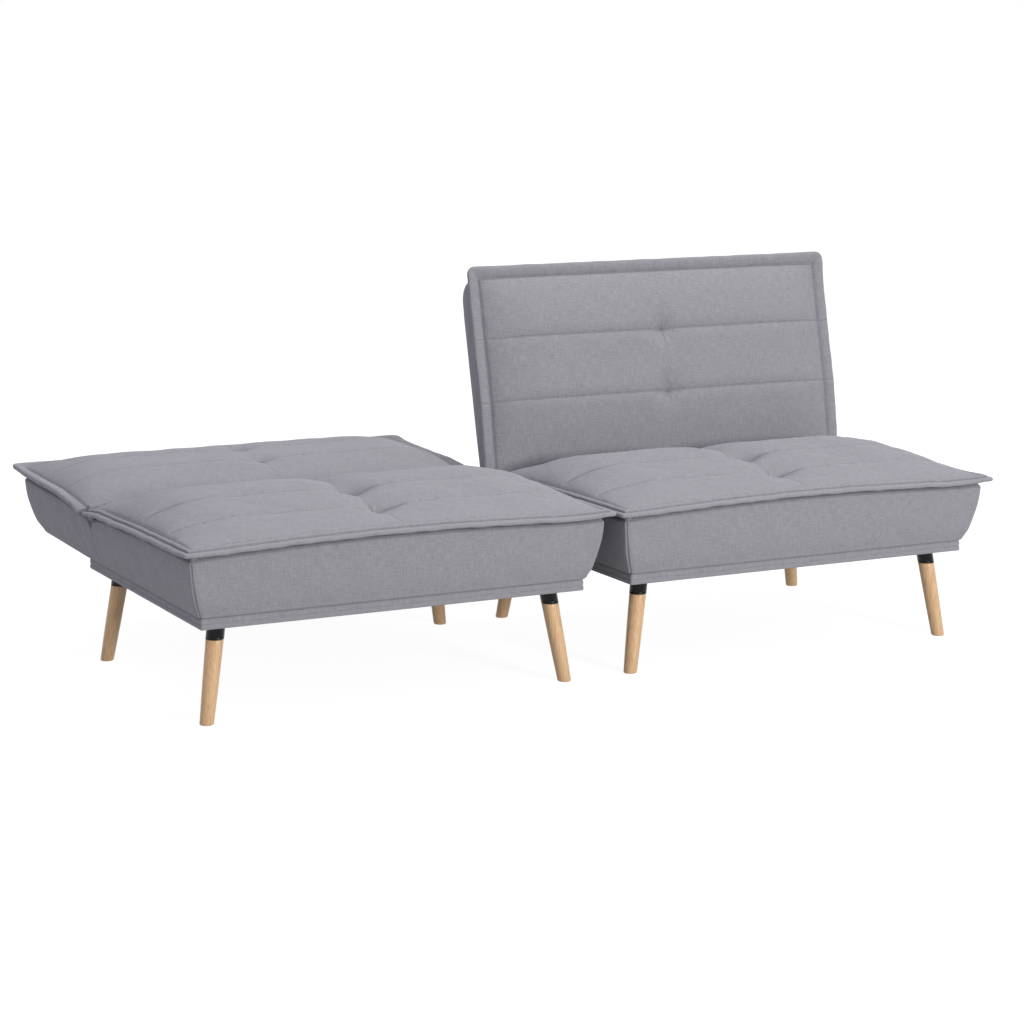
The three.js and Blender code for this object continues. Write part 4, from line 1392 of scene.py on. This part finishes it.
    def _pucker(self, ring: np.ndarray) -> None:
        """Moves the wall in and out a little.

        Gathers are a sum of waves along the wall that fades down as a bell curve, lumps set in below
        them, and the recess under the flange is a bell curve round its own height.

        Args:
            ring: The walls' grid of points, which is changed in place.
        """
        middle = np.array([HALF_WIDTH / 2, self.sizes.length / 2])
        away = ring[..., :2] - middle
        width = HALF_WIDTH / 2 - np.abs(away[..., 0])
        depth = ring[..., 1]
        side = width < depth
        run = line_run(ring[0, :, :2])[None, :]
        below = self.top(ring[..., 0], ring[..., 1]) - ring[..., 2]
        above = ring[..., 2] - self.bottom(ring[..., 1])
        calm = smooth_step(self.sizes.length - ring[..., 1], 20, 50) * smooth_step(above, 2, 22)
        seed = self.sizes.seed + 20
        shift = self.gather_depth * bell(below, self.gather_reach) * wave_sum(run, self.gather_waves, seed)
        shift = shift + self.lump_depth * smooth_step(below, 4, 50) \
            * lumps(run + 0 * below, below, self.lump_length, seed + 1)
        shift = shift * calm + self.recess * bell(below - self.recess_drop, self.recess_width)
        ring[..., 0] += np.where(side, np.sign(-away[..., 0]) * shift, 0)
        ring[..., 1] += np.where(side, 0, shift)

    def _joint_wall(self, surface: Surface, ring: np.ndarray, share: np.ndarray) -> None:
        """Adds the wall at the joint, between the ring's two ends, less the slots for the hinges.

        Args:
            surface: The surface that the wall is added to.
            ring: The other walls' grid of points.
            share: Shares of the way across.
        """
        left, right = ring[:, 0], ring[:, -1]
        points = left[:, None] + share[None, :, None] * (right - left)[:, None]
        centre = (points[:-1, :-1] + points[1:, 1:]) / 2
        keep = np.ones(centre.shape[:2], bool)
        for low, high in self.slots:
            for start, stop in both_sides(low, high):
                inside = (centre[..., 0] > start - SLOT_MARGIN) & (centre[..., 0] < stop + SLOT_MARGIN)
                keep &= ~(inside & (centre[..., 2] > self.slot_bottom))
        surface.grid(points, points[..., [0, 2]], keep)

    def _floor(self, surface: Surface, rim: np.ndarray, half: int, share: np.ndarray) -> None:
        """Adds the back's rear panel: rows from the left rim to the right rim, lifted off its edge.

        Args:
            surface: The surface that the panel is added to.
            rim: The walls' bottom edge.
            half: How many of its points belong to the left side.
            share: Shares of the way across.
        """
        left, right = rim[:half], rim[::-1][:half]
        points = left[:, None] + share[None, :, None] * (right - left)[:, None]
        edge = np.minimum(points[..., 0] - left[:, None, 0], right[:, None, 0] - points[..., 0])
        edge = np.minimum(edge, points[..., 1] - rim[:, 1].min())
        calm = smooth_step(self.sizes.length - points[..., 1], 20, 60)
        soft = lumps(points[..., 0], points[..., 1], self.floor_lump_length, self.sizes.seed + 30)
        points[..., 2] += calm * smooth_step(edge, 0, 8) * (self.floor_lift + self.floor_lump_depth * soft)
        surface.grid(points, points[..., :2])

    def _face_out(self, piece: bpy.types.Object) -> None:
        """Turns the sheet so that its faces point away from its middle.

        Args:
            piece: The walls.
        """
        mesh = piece.data
        work = bmesh.new()
        work.from_mesh(mesh)
        bmesh.ops.recalc_face_normals(work, faces=work.faces)
        middle = self.place.put(np.array([[HALF_WIDTH / 2, self.sizes.length / 2, HINGE_HEIGHT - 20]]))[0]
        outward = sum((np.array(face.calc_center_median()) - middle) @ np.array(face.normal)
                      * face.calc_area() for face in work.faces)
        if outward < 0:
            bmesh.ops.reverse_faces(work, faces=work.faces)
        work.to_mesh(mesh)
        work.free()
        mesh.shade_smooth()


# Base, legs and lining


@dataclass
class BaseSkirt:
    """The strip of cloth wrapped round the base boards, with a folded hem. Lengths are in mm.

    The profile gives each point's depth behind the outer face and height over the lower edge. A
    ripple is a sine wave round the whole strip: its height, how often it repeats and its phase.
    """

    name: str
    place: Place
    inset: float = 50.0
    end: float = 705.0
    low: float = 194.0
    thickness: float = 1.7
    corner_radius: float = 3.5
    profile: tuple[tuple[float, float], ...] = (
        (0.9, 0), (0.2, 0.25), (-0.3, 0.9), (-0.9, 2.6), (-1.1, 5.4), (-0.8, 8.0), (0.3, 9.6), (0.9, 10.2),
        (0.3, 10.8), (-0.5, 12.4), (-0.7, 15.5), (-0.5, 18.0), (-0.1, 20.0), (0.6, 21.6), (1.5, 22.7))
    inner_low: float = 0.3
    ripples: tuple[tuple[float, float, float], ...] = ((0.25, 17, 0.7), (0.2, 41, 0.0))
    ripple_share: float = 0.4

    def build(self) -> bpy.types.Object:
        """Carries the hem's profile round a rounded rectangle and closes it on the inner side.

        Returns:
            The piece.
        """
        radius = self.corner_radius
        turn = np.radians(np.linspace(180, 270, 9))
        corner = np.stack([np.cos(turn), np.sin(turn)], -1)
        near, far = self.inset + radius, self.end - radius
        right = HALF_WIDTH - near
        sides = []
        for quarter, centre in enumerate(((near, near), (right, near), (right, far), (near, far))):
            angle = math.radians(90 * quarter)
            cos, sin = math.cos(angle), math.sin(angle)
            out = corner @ np.array([[cos, sin], [-sin, cos]])
            sides.append(np.column_stack([np.array(centre) + out * radius, out]))
        path = []
        for here, after in zip(sides, sides[1:] + sides[:1]):
            steps = np.linspace(0, 1, 90)[1:-1, None]
            path += [here, here[-1] + steps * (after[0] - here[-1])]
        path = np.concatenate([*path, sides[0][:1]])
        point, out = path[:, :2], path[:, 2:] / np.linalg.norm(path[:, 2:], axis=1, keepdims=True)
        run = line_run(point)
        soft = sum(high * np.sin(2 * math.pi * run / run[-1] * count + phase)
                   for high, count, phase in self.ripples)
        shape = [(depth, up, 1.0) for depth, up in self.profile]
        shape += [(self.thickness, self.profile[-1][1], 0.0), (self.thickness, self.inner_low, 0.0),
                  self.profile[0] + (1.0,)]
        rings = []
        for depth, up, share in shape:
            level = np.full_like(run, self.low + up)
            inwards = (depth - share * self.ripple_share * soft)[:, None]
            rings.append(np.column_stack([point - out * inwards, level]))
        points = np.stack(rings)
        flat = np.dstack([np.broadcast_to(run, points.shape[:2]), points[..., 2]])
        piece = Surface().grid(points, flat).build(self.name, self.place)
        FABRIC.put_on(piece)
        return piece


@dataclass
class FoamBlock:
    """The foam in a seat or a back: its CAD solid with softened edges. Lengths are in mm.

    The starts say how far from a side or from the free edge it is drawn in, to the shares of that.
    """

    name: str
    place: Place
    voxel: float = 6.0
    side_start: float = 50.0
    side_share: float = 0.45
    free_start: float = 200.0
    free_share: float = 0.9

    def build(self) -> bpy.types.Object:
        """Copies the CAD node's mesh, merges it, remeshes it in voxels and smooths it.

        It is then drawn in a little at its sides and its free end, clear of the cover's gathers. A
        seat's hinge slots, which the voxels close, are cut again.

        Returns:
            The piece.
        """
        mesh = frame["nodes"][self.name].data.copy()
        mesh.name = self.name + "_block"
        work = bmesh.new()
        work.from_mesh(mesh)
        bmesh.ops.remove_doubles(work, verts=work.verts, dist=0.01 * MM)
        work.to_mesh(mesh)
        work.free()
        mesh.materials.clear()
        piece = link_object(mesh.name, mesh)
        voxels = piece.modifiers.new("cut block", "REMESH")
        voxels.mode = "VOXEL"
        voxels.voxel_size = self.voxel * MM
        voxels.use_smooth_shade = True
        soft = piece.modifiers.new("soft edges", "SMOOTH")
        soft.factor = 0.5
        soft.iterations = 3
        cutter = None if self.place.mirrored else self._slots()
        if cutter:
            slots = piece.modifiers.new("hinge slots", "BOOLEAN")
            slots.operation = "DIFFERENCE"
            slots.solver = "EXACT"
            slots.object = cutter
        shown = piece.evaluated_get(bpy.context.evaluated_depsgraph_get())
        piece.modifiers.clear()
        piece.data = bpy.data.meshes.new_from_object(shown)
        piece.data.name = mesh.name
        if cutter:
            bpy.data.objects.remove(cutter)
        points = np.empty(len(piece.data.vertices) * 3, np.float32)
        piece.data.vertices.foreach_get("co", points)
        own = self.place.take(points.reshape(-1, 3).astype(float))
        side = HALF_WIDTH / 2 - np.abs(own[:, 0] - HALF_WIDTH / 2)
        drawn = self.side_start - (self.side_start - side) * self.side_share
        moved = np.where(side < self.side_start, drawn - side, 0)
        own[:, 0] -= np.sign(own[:, 0] - HALF_WIDTH / 2) * moved
        near = own[:, 1] < self.free_start
        own[near, 1] = self.free_start - (self.free_start - own[near, 1]) * self.free_share
        piece.data.vertices.foreach_set("co", self.place.put(own).astype(np.float32).ravel())
        piece.data.shade_smooth()
        FOAM.put_on(piece)
        return piece

    def _slots(self) -> bpy.types.Object:
        """Two boxes a little wider than the hinge slots, one near each side, to cut the block with.

        Returns:
            The boxes, which reach past the block below, above and at the joint.
        """
        boxes = Surface()
        stop, bottom, top = SEAT_DEPTH + 20, BASE_TOP - 10, REST_EDGE + 20
        for low, high in both_sides(SLOT_LOW - SLOT_MARGIN, SLOT_HIGH + SLOT_MARGIN):
            rim = np.array([[low, SLOT_START], [high, SLOT_START], [high, stop], [low, stop]])
            boxes.bar(np.stack([np.column_stack([rim, np.full(4, z)]) for z in (bottom, top)]))
        return boxes.build(self.name + "_slots", self.place)


@dataclass
class Foot:
    """One turned, splayed leg and the steel ferrule and plate that hold it. Lengths are in mm.

    The places are the foot's distances from the free edge. A splay is how far the leg leans from the
    floor up to the base. A rear leg's holder also has a fin, and rear legs lean the other way.
    """

    prefix: str
    place: Place
    rear: bool
    right: bool
    foot_inset: float = 72.0
    front_place: float = 89.0
    rear_place: float = 676.0
    side_splay: float = 31.0
    length_splay: float = 20.0
    foot_radius: float = 14.0
    leg_radius: float = 17.5
    tenon_radius: float = 13.5
    tenon_length: float = 22.0
    ferrule_radius: float = 18.0
    ferrule_length: float = 30.0
    groove: float = 0.35
    flare: float = 1.6
    swell: float = 0.35
    plate_width: float = 70.0
    plate_thickness: float = 3.0
    plate_radius: float = 6.0
    fin_reach: float = 37.0
    fin_tip: float = 12.0
    fin_length: float = 88.0
    fin_thickness: float = 4.0
    sides: int = 72

    def lean(self, points: np.ndarray) -> np.ndarray:
        """Shears points drawn about an upright middle line to the leg's splay and puts them in place.

        Args:
            points: Points with x, y and z as their last axis, in mm.

        Returns:
            The points in the half's own coordinates.
        """
        sign = -1 if self.rear else 1
        x = points[..., 0] + points[..., 2] * self.side_splay / BASE_BOTTOM + self.foot_inset
        base = self.rear_place if self.rear else self.front_place
        y = points[..., 1] + sign * points[..., 2] * self.length_splay / BASE_BOTTOM + base
        return np.stack([HALF_WIDTH - x if self.right else x, y, points[..., 2]], -1)

    def turned(self, profile: list[tuple[float, float]]) -> Surface:
        """Carries a profile round the leg's middle line, with closed ends.

        Args:
            profile: Radius and height of each point.

        Returns:
            The surface.
        """
        turn = np.linspace(0, 2 * math.pi, self.sides + 1)
        radius, height = np.array(profile).T
        points = np.stack(np.broadcast_arrays(
            radius[:, None] * np.cos(turn), radius[:, None] * np.sin(turn), height[:, None]), -1)
        flat = np.stack(np.broadcast_arrays(turn[None, :] * self.leg_radius, height[:, None]), -1)
        surface = Surface().grid(self.lean(points), flat)
        surface.cap(self.lean(points[0, :-1]))
        surface.cap(self.lean(points[-1, :-1]))
        return surface

    def build(self) -> list[bpy.types.Object]:
        """Makes the leg and its holder.

        Returns:
            The leg and the holder.
        """
        plate_top = BASE_BOTTOM - TOUCH_GAP
        ferrule_top = plate_top - self.plate_thickness
        ferrule_bottom = ferrule_top - self.ferrule_length
        shoulder = ferrule_bottom - TOUCH_GAP
        end = "rear" if self.rear else "front"
        side = "inner" if self.right == (self.prefix == "left") else "outer"
        foot, leg, tenon = self.foot_radius, self.leg_radius, self.tenon_radius
        # A rounded foot, a straight taper with a slight swell, a shoulder, and the tenon.
        taper = [(foot + (leg - foot) * t + self.swell * math.sin(math.pi * t), 3 + (shoulder - 4.2) * t)
                 for t in np.linspace(0, 1, 24)]
        leg_profile = [(foot - 2.6, 0), (foot - 1.5, 0.25), (foot - 0.6, 0.9), (foot - 0.15, 1.8), *taper,
                       (leg - 0.3, shoulder - 0.5), (leg - 1.0, shoulder), (tenon, shoulder),
                       (tenon, shoulder + self.tenon_length - 1), (tenon - 1, shoulder + self.tenon_length)]
        leg_piece = self.turned(leg_profile).build(f"{self.prefix}_{end}_turned_leg_{side}", self.place)
        ASH.put_on(leg_piece)

        # The bore, a rounded lower rim, a turned groove, and a flare under the plate.
        bore, out, low = tenon + TOUCH_GAP, self.ferrule_radius, ferrule_bottom
        ferrule = self.turned([
            (bore, low + self.tenon_length), (bore, low + 0.6), (bore + 0.4, low), (out - 1.0, low),
            (out - 0.3, low + 0.3), (out, low + 1.0), (out, low + 3.2), (out - self.groove, low + 3.8),
            (out - self.groove, low + 4.6), (out, low + 5.2), (out, ferrule_top - 1.6),
            (out + 0.5, ferrule_top - 0.7), (out + self.flare, ferrule_top)])
        self._plate(ferrule, ferrule_top, plate_top)
        if self.rear:
            self._fin(ferrule, ferrule_top)
        holder = ferrule.build(f"{self.prefix}_{end}_ferrule_{side}", self.place)
        BLACK_STEEL.put_on(holder)
        edge = holder.modifiers.new("rolled edges", "BEVEL")
        edge.width = 0.6 * MM
        edge.segments = 2
        edge.limit_method = "ANGLE"
        edge.angle_limit = math.radians(50)
        return [leg_piece, holder]

    def _plate(self, surface: Surface, low: float, high: float) -> None:
        """Adds the square fixing plate: a quarter of its rounded rim, turned four times, as a bar.

        Args:
            surface: The surface that the plate is added to.
            low: Height of its lower face.
            high: Height of its upper face.
        """
        radius = self.plate_radius
        half = self.plate_width / 2 - radius
        corner = np.radians(np.linspace(0, 90, 7))
        quarter = np.stack([half + radius * np.cos(corner), half + radius * np.sin(corner)], -1)
        rim = np.concatenate([
            quarter @ np.array([[c, s], [-s, c]]) for c, s in ((1, 0), (0, 1), (-1, 0), (0, -1))])
        rings = [np.column_stack([rim, np.full(len(rim), z)]) for z in (low, high)]
        surface.bar(self.lean(np.stack(rings)))

    def _fin(self, surface: Surface, top: float) -> None:
        """Adds the steel gusset behind a rear leg: a thin plate from the fixing plate down the leg.

        Args:
            surface: The surface that the gusset is added to.
            top: Height of its upper edge.
        """
        out, half = self.ferrule_radius, self.fin_thickness / 2
        inner, beside, outer = out - 1.5, out + TOUCH_GAP, out + self.fin_reach
        under, tip = top - self.ferrule_length, top - self.fin_length
        rim = np.array([
            [inner, under], [beside, under], [beside, tip], [out + self.fin_tip, tip],
            [outer, top - self.fin_thickness], [outer, top], [inner, top]])
        rings = [np.column_stack([np.full(len(rim), x), rim]) for x in (-half, half)]
        surface.bar(self.lean(np.stack(rings)), (1, 2))


@dataclass
class DustCover:
    """The lining stapled under the base frame, cut out round the legs' plates. Lengths are in mm."""

    name: str
    place: Place
    inset: float = 52.0
    end: float = 703.0
    top: float = 195.7
    notch_across: float = 141.5
    notch_front: float = 147.5
    notch_rear: float = 617.5
    drop: float = 0.6
    sag: float = 2.2
    sag_lumps: tuple[float, float] = (0.8, 150)
    edge_lumps: tuple[float, float] = (0.35, 40)
    felt: float = 0.5
    seed: int = 71

    def build(self) -> bpy.types.Object:
        """Lays a sheet from edge to edge that sags a little between the boards.

        It sags by a smooth step from its edges, with wide lumps on that and small puckers beside the
        staples. The corner notches are left out.

        Returns:
            The piece.
        """
        notches = (self.notch_across, HALF_WIDTH - self.notch_across)
        x = stations(self.inset, HALF_WIDTH - self.inset, 8, notches, 6, 3)
        y = stations(self.inset, self.end, 8, (self.notch_front, self.notch_rear), 6, 3)
        grid = np.stack(np.meshgrid(x, y), -1)
        across, along = grid[..., 0], grid[..., 1]
        edge = np.minimum.reduce([
            across - self.inset, HALF_WIDTH - self.inset - across, along - self.inset, self.end - along])
        free = smooth_step(edge, 62, 160)
        (wide, wide_length), (small, small_length) = self.sag_lumps, self.edge_lumps
        z = self.top - self.drop - free * (self.sag + wide * lumps(across, along, wide_length, self.seed)) \
            - small * smooth_step(edge, 4, 30) * np.abs(lumps(across, along, small_length, self.seed + 1))
        points = np.dstack([across, along, z])
        centre = (points[:-1, :-1] + points[1:, 1:]) / 2
        cut = (np.minimum(centre[..., 0], HALF_WIDTH - centre[..., 0]) < self.notch_across) \
            & ((centre[..., 1] < self.notch_front) | (centre[..., 1] > self.notch_rear))
        piece = Surface().grid(points, grid, ~cut).build(self.name, self.place)
        thick = piece.modifiers.new("lining thickness", "SOLIDIFY")
        thick.thickness = self.felt * MM
        thick.offset = 0
        LINING.put_on(piece)
        return piece


@dataclass
class HalfSofa:
    """One half: its seat, its back, its base and the hinge pieces between them."""

    prefix: str
    joint: dict = field(repr=False)

    def __post_init__(self) -> None:
        """Reads where the half stands and how far its back is up from the joint of its back."""
        x, y, z = self.joint["pos_m"]
        turn = -math.radians(self.joint["range_deg"][0])
        self.seat_place = Place(x, (y, z))
        self.back_place = Place(x, (y, z), turn, True)

    def node(self, name: str) -> str:
        """A CAD node's name in this half."""
        return f"{self.prefix}_{name}"

    def settle(self, piece: bpy.types.Object, body: str, slot: str, *nodes: str) -> None:
        """Says which body a piece rides on, hides the CAD nodes that it stands for, and logs its face count.

        Args:
            piece: The piece.
            body: Its body's name without the half.
            slot: Not used.
            nodes: Names, without the half, of the CAD nodes that it replaces.
        """
        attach(piece, self.node(body))
        if nodes:
            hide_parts(*[self.node(name) for name in nodes])
        log.info("%s: %d faces", piece.name, len(piece.data.polygons))

    def build(self) -> None:
        """Makes every piece of the half."""
        self.make_quilts()
        self.make_walls()
        self.make_foam()
        self.make_base()
        self.make_legs()
        self.dress_hidden_parts()

    def make_quilts(self) -> None:
        """The quilted panels of seat and back."""
        seat = QuiltedPanel(self.node("seat_quilt_cover"), self.seat_place, SEAT_PANEL)
        back = QuiltedPanel(
            self.node("back_quilt_cover"), self.back_place, BACK_PANEL, knuckle=True, corner_radius=14.0,
            flange_bow=-4.0, flange_droop=-6.0, corner_bow=4.0, ear_rise=7.0, unevenness=0.5,
            waviness=0.8, rim_groove=3.2, profile=ROLLED_FLANGE)
        for part, body, panel in (("seat", "base", seat), ("back", "back", back)):
            cover, stitching = panel.build()
            self.settle(cover, body, "grey_fabric", f"{part}_quilt")
            self.settle(stitching, body, "grey_fabric")

    def make_walls(self) -> None:
        """The sewn walls of seat and back."""
        seat = WallCover(
            self.node("seat_walls"), self.seat_place, SEAT_PANEL, far_shares=(0, 0.07, 0.23, 0.5, 0.73, 1),
            far_inset=46, joint_inset=2.0, underside=False, slots=((SLOT_LOW, SLOT_HIGH),),
            slot_bottom=SLOT_BOTTOM, hollow=KNUCKLE_RADIUS + SWEEP_GAP).build()
        self.settle(seat, "base", "grey_fabric", "seat_border")
        back = WallCover(
            self.node("back_walls"), self.back_place, BACK_PANEL,
            far_shares=(0, 0.01, 0.05, 0.17, 0.36, 0.9), far_inset=100, joint_inset=SWEEP_GAP,
            underside=True, slots=((ARM_SLOT_LOW, ARM_SLOT_HIGH),),
            slot_bottom=HINGE_HEIGHT - ARM_SLOT_DEPTH, hollow=KNUCKLE_RADIUS + TOUCH_GAP).build()
        self.settle(back, "back", "grey_fabric", "back_shell")

    def make_foam(self) -> None:
        """The foam blocks inside."""
        for part, body, place in (("seat_foam", "base", self.seat_place),
                                  ("back_foam", "back", self.back_place)):
            block = FoamBlock(self.node(part), place).build()
            self.settle(block, body, "seat_foam", part)

    def make_base(self) -> None:
        """The skirt and the lining of the base frame."""
        skirt = BaseSkirt(self.node("skirt_strip"), self.seat_place).build()
        self.settle(skirt, "base", "grey_fabric", "base_skirt")
        cover = DustCover(self.node("lining"), self.seat_place)
        lining = cover.build()
        self.settle(lining, "base", "black_lining", "dust_cover")

    def make_legs(self) -> None:
        """The four legs with their ferrules."""
        for rear in (False, True):
            for right in (False, True):
                leg, holder = Foot(self.prefix, self.seat_place, rear, right).build()
                end = "rear" if rear else "front"
                side = leg.name.rsplit("_", 1)[1]
                self.settle(leg, "base", "ash_wood", f"{end}_leg_{side}")
                self.settle(holder, "base", "black_steel", f"{end}_leg_holder_{side}")

    def dress_hidden_parts(self) -> None:
        """Gives the CAD nodes that stay their real finishes."""
        finishes = {"seat_deck": PLYWOOD, "back_board": PLYWOOD, "front_rail": PINE_ACROSS,
                    "rear_rail": PINE_ACROSS}
        for side in ("outer", "inner"):
            finishes[f"side_rail_{side}"] = PINE_ALONG
            for part in ("base", "arm", "pin", "pawl"):
                finishes[f"hinge_{part}_{side}"] = ZINC
        for name, finish in finishes.items():
            finish.put_on(frame["nodes"][self.node(name)])
            log.info("%s keeps its CAD shape: %s", self.node(name), finish.title)


# Floor, light and camera


def where_seen(tree: bpy.types.NodeTree) -> bpy.types.NodeSocket:
    """Adds what tells the rays of the camera, of gloss and of glass from those that light pieces.

    Args:
        tree: The node tree.

    Returns:
        A socket that is 1 for the camera, gloss and glass, and 0 for other rays.
    """
    path = add_node(tree, "ShaderNodeLightPath")
    seen = add_node(tree, "ShaderNodeMath", {"operation": "MAXIMUM"},
                    {0: path.outputs["Is Camera Ray"], 1: path.outputs["Is Glossy Ray"]})
    return add_node(tree, "ShaderNodeMath", {"operation": "MAXIMUM"},
                    {0: seen.outputs[0], 1: path.outputs["Is Transmission Ray"]}).outputs[0]


@dataclass
class Studio:
    """A pale floor, plain soft light and the photograph's camera.

    The eye is in metres, the angles are in degrees, and the lens and its sensor are in mm. The floor
    glows a little less than white, so that it shows white with what light falls on it.
    """

    eye: tuple[float, float, float] = (-2.6173, -5.1648, 1.3359)
    yaw: float = 27.12
    pitch: float = 10.43
    roll: float = -0.15
    lens: float = 94.92
    sensor: float = 36.0
    floor_size: float = 30.0
    floor_glow: float = 0.93
    world_light: float = 0.47
    lamp_colour: str = "#fffdf8"

    def build(self) -> None:
        """Makes the floor, the lamps, the world and the camera."""
        self.make_floor()
        self.make_lamp("overhead_softbox", (0.5, 0.2, 6.6), (0, 0.1, 0.3), size=3.0, power=187)
        self.make_lamp("front_softbox", (1.4, -6.4, 1.75), (-0.2, 0, 0.4), size=1.3, power=210)
        self.make_world()
        self.make_camera()

    def make_floor(self) -> None:
        """A floor that shows white to the camera and in gloss, and still keeps a faint shadow."""
        half = self.floor_size / 2
        mesh = bpy.data.meshes.new("studio_floor")
        corners = [(-half, -half, 0), (half, -half, 0), (half, half, 0), (-half, half, 0)]
        mesh.from_pydata(corners, [], [(0, 1, 2, 3)])
        floor = link_object("studio_floor", mesh)
        made = bpy.data.materials.new("pale_studio_floor")
        made.use_nodes = True
        tree = made.node_tree
        tree.nodes.clear()
        seen = where_seen(tree)
        matt = add_node(tree, "ShaderNodeBsdfDiffuse", {"Color": linear("#c6c6c6")})
        faint = add_node(tree, "ShaderNodeBsdfDiffuse", {"Color": linear("#8a8a8a")})
        glow = add_node(tree, "ShaderNodeEmission",
                        {"Color": linear("#ffffff"), "Strength": self.floor_glow})
        both = add_node(tree, "ShaderNodeAddShader", links={0: faint.outputs[0], 1: glow.outputs[0]})
        mix = add_node(tree, "ShaderNodeMixShader", links={0: seen, 1: matt.outputs[0], 2: both.outputs[0]})
        add_node(tree, "ShaderNodeOutputMaterial", links={"Surface": mix.outputs[0]})
        mesh.materials.append(made)

    def make_lamp(self, name: str, at: tuple[float, float, float], to: tuple[float, float, float],
                  size: float, power: float) -> None:
        """Adds a square soft lamp.

        Args:
            name: Its name.
            at: Where it hangs, in metres.
            to: The point that it looks at.
            size: Its side in metres.
            power: Its power in watts.
        """
        light = bpy.data.lights.new(name, "AREA")
        light.shape = "SQUARE"
        light.size = size
        light.energy = power
        light.color = linear(self.lamp_colour)[:3]
        lamp = link_object(name, light)
        lamp.location = at
        direction = lamp.location.copy()
        direction.x, direction.y, direction.z = (b - a for a, b in zip(at, to))
        lamp.rotation_euler = direction.to_track_quat("-Z", "Y").to_euler()

    def make_world(self) -> None:
        """A world that lights evenly and shows white where the camera, gloss and glass look at it."""
        world = bpy.data.worlds.new("studio_world")
        bpy.context.scene.world = world
        world.use_nodes = True
        tree = world.node_tree
        tree.nodes.clear()
        seen = where_seen(tree)
        even = add_node(tree, "ShaderNodeBackground",
                        {"Color": linear("#f1ecf8"), "Strength": self.world_light})
        white = add_node(tree, "ShaderNodeBackground", {"Color": linear("#ffffff"), "Strength": 1.0})
        mix = add_node(tree, "ShaderNodeMixShader", links={0: seen, 1: even.outputs[0], 2: white.outputs[0]})
        add_node(tree, "ShaderNodeOutputWorld", links={"Surface": mix.outputs[0]})

    def make_camera(self) -> None:
        """The camera at the photograph's angle, on a square frame."""
        lens = bpy.data.cameras.new("photo_camera")
        lens.lens = self.lens
        lens.sensor_width = self.sensor
        camera = link_object("photo_camera", lens)
        camera.location = self.eye
        tilt = math.radians(90 - self.pitch)
        camera.rotation_euler = (tilt, math.radians(self.roll), -math.radians(self.yaw))
        bpy.context.scene.camera = camera


def main() -> None:
    """Builds both halves and the studio in order."""
    bpy.context.scene.view_settings.view_transform = "Standard"
    joints = {joint["name"]: joint for joint in frame["joints"]}
    for prefix in ("left", "right"):
        HalfSofa(prefix, joints[f"{prefix}_back_hinge"]).build()
    Studio().build()


if __name__ == "__main__":
    main()
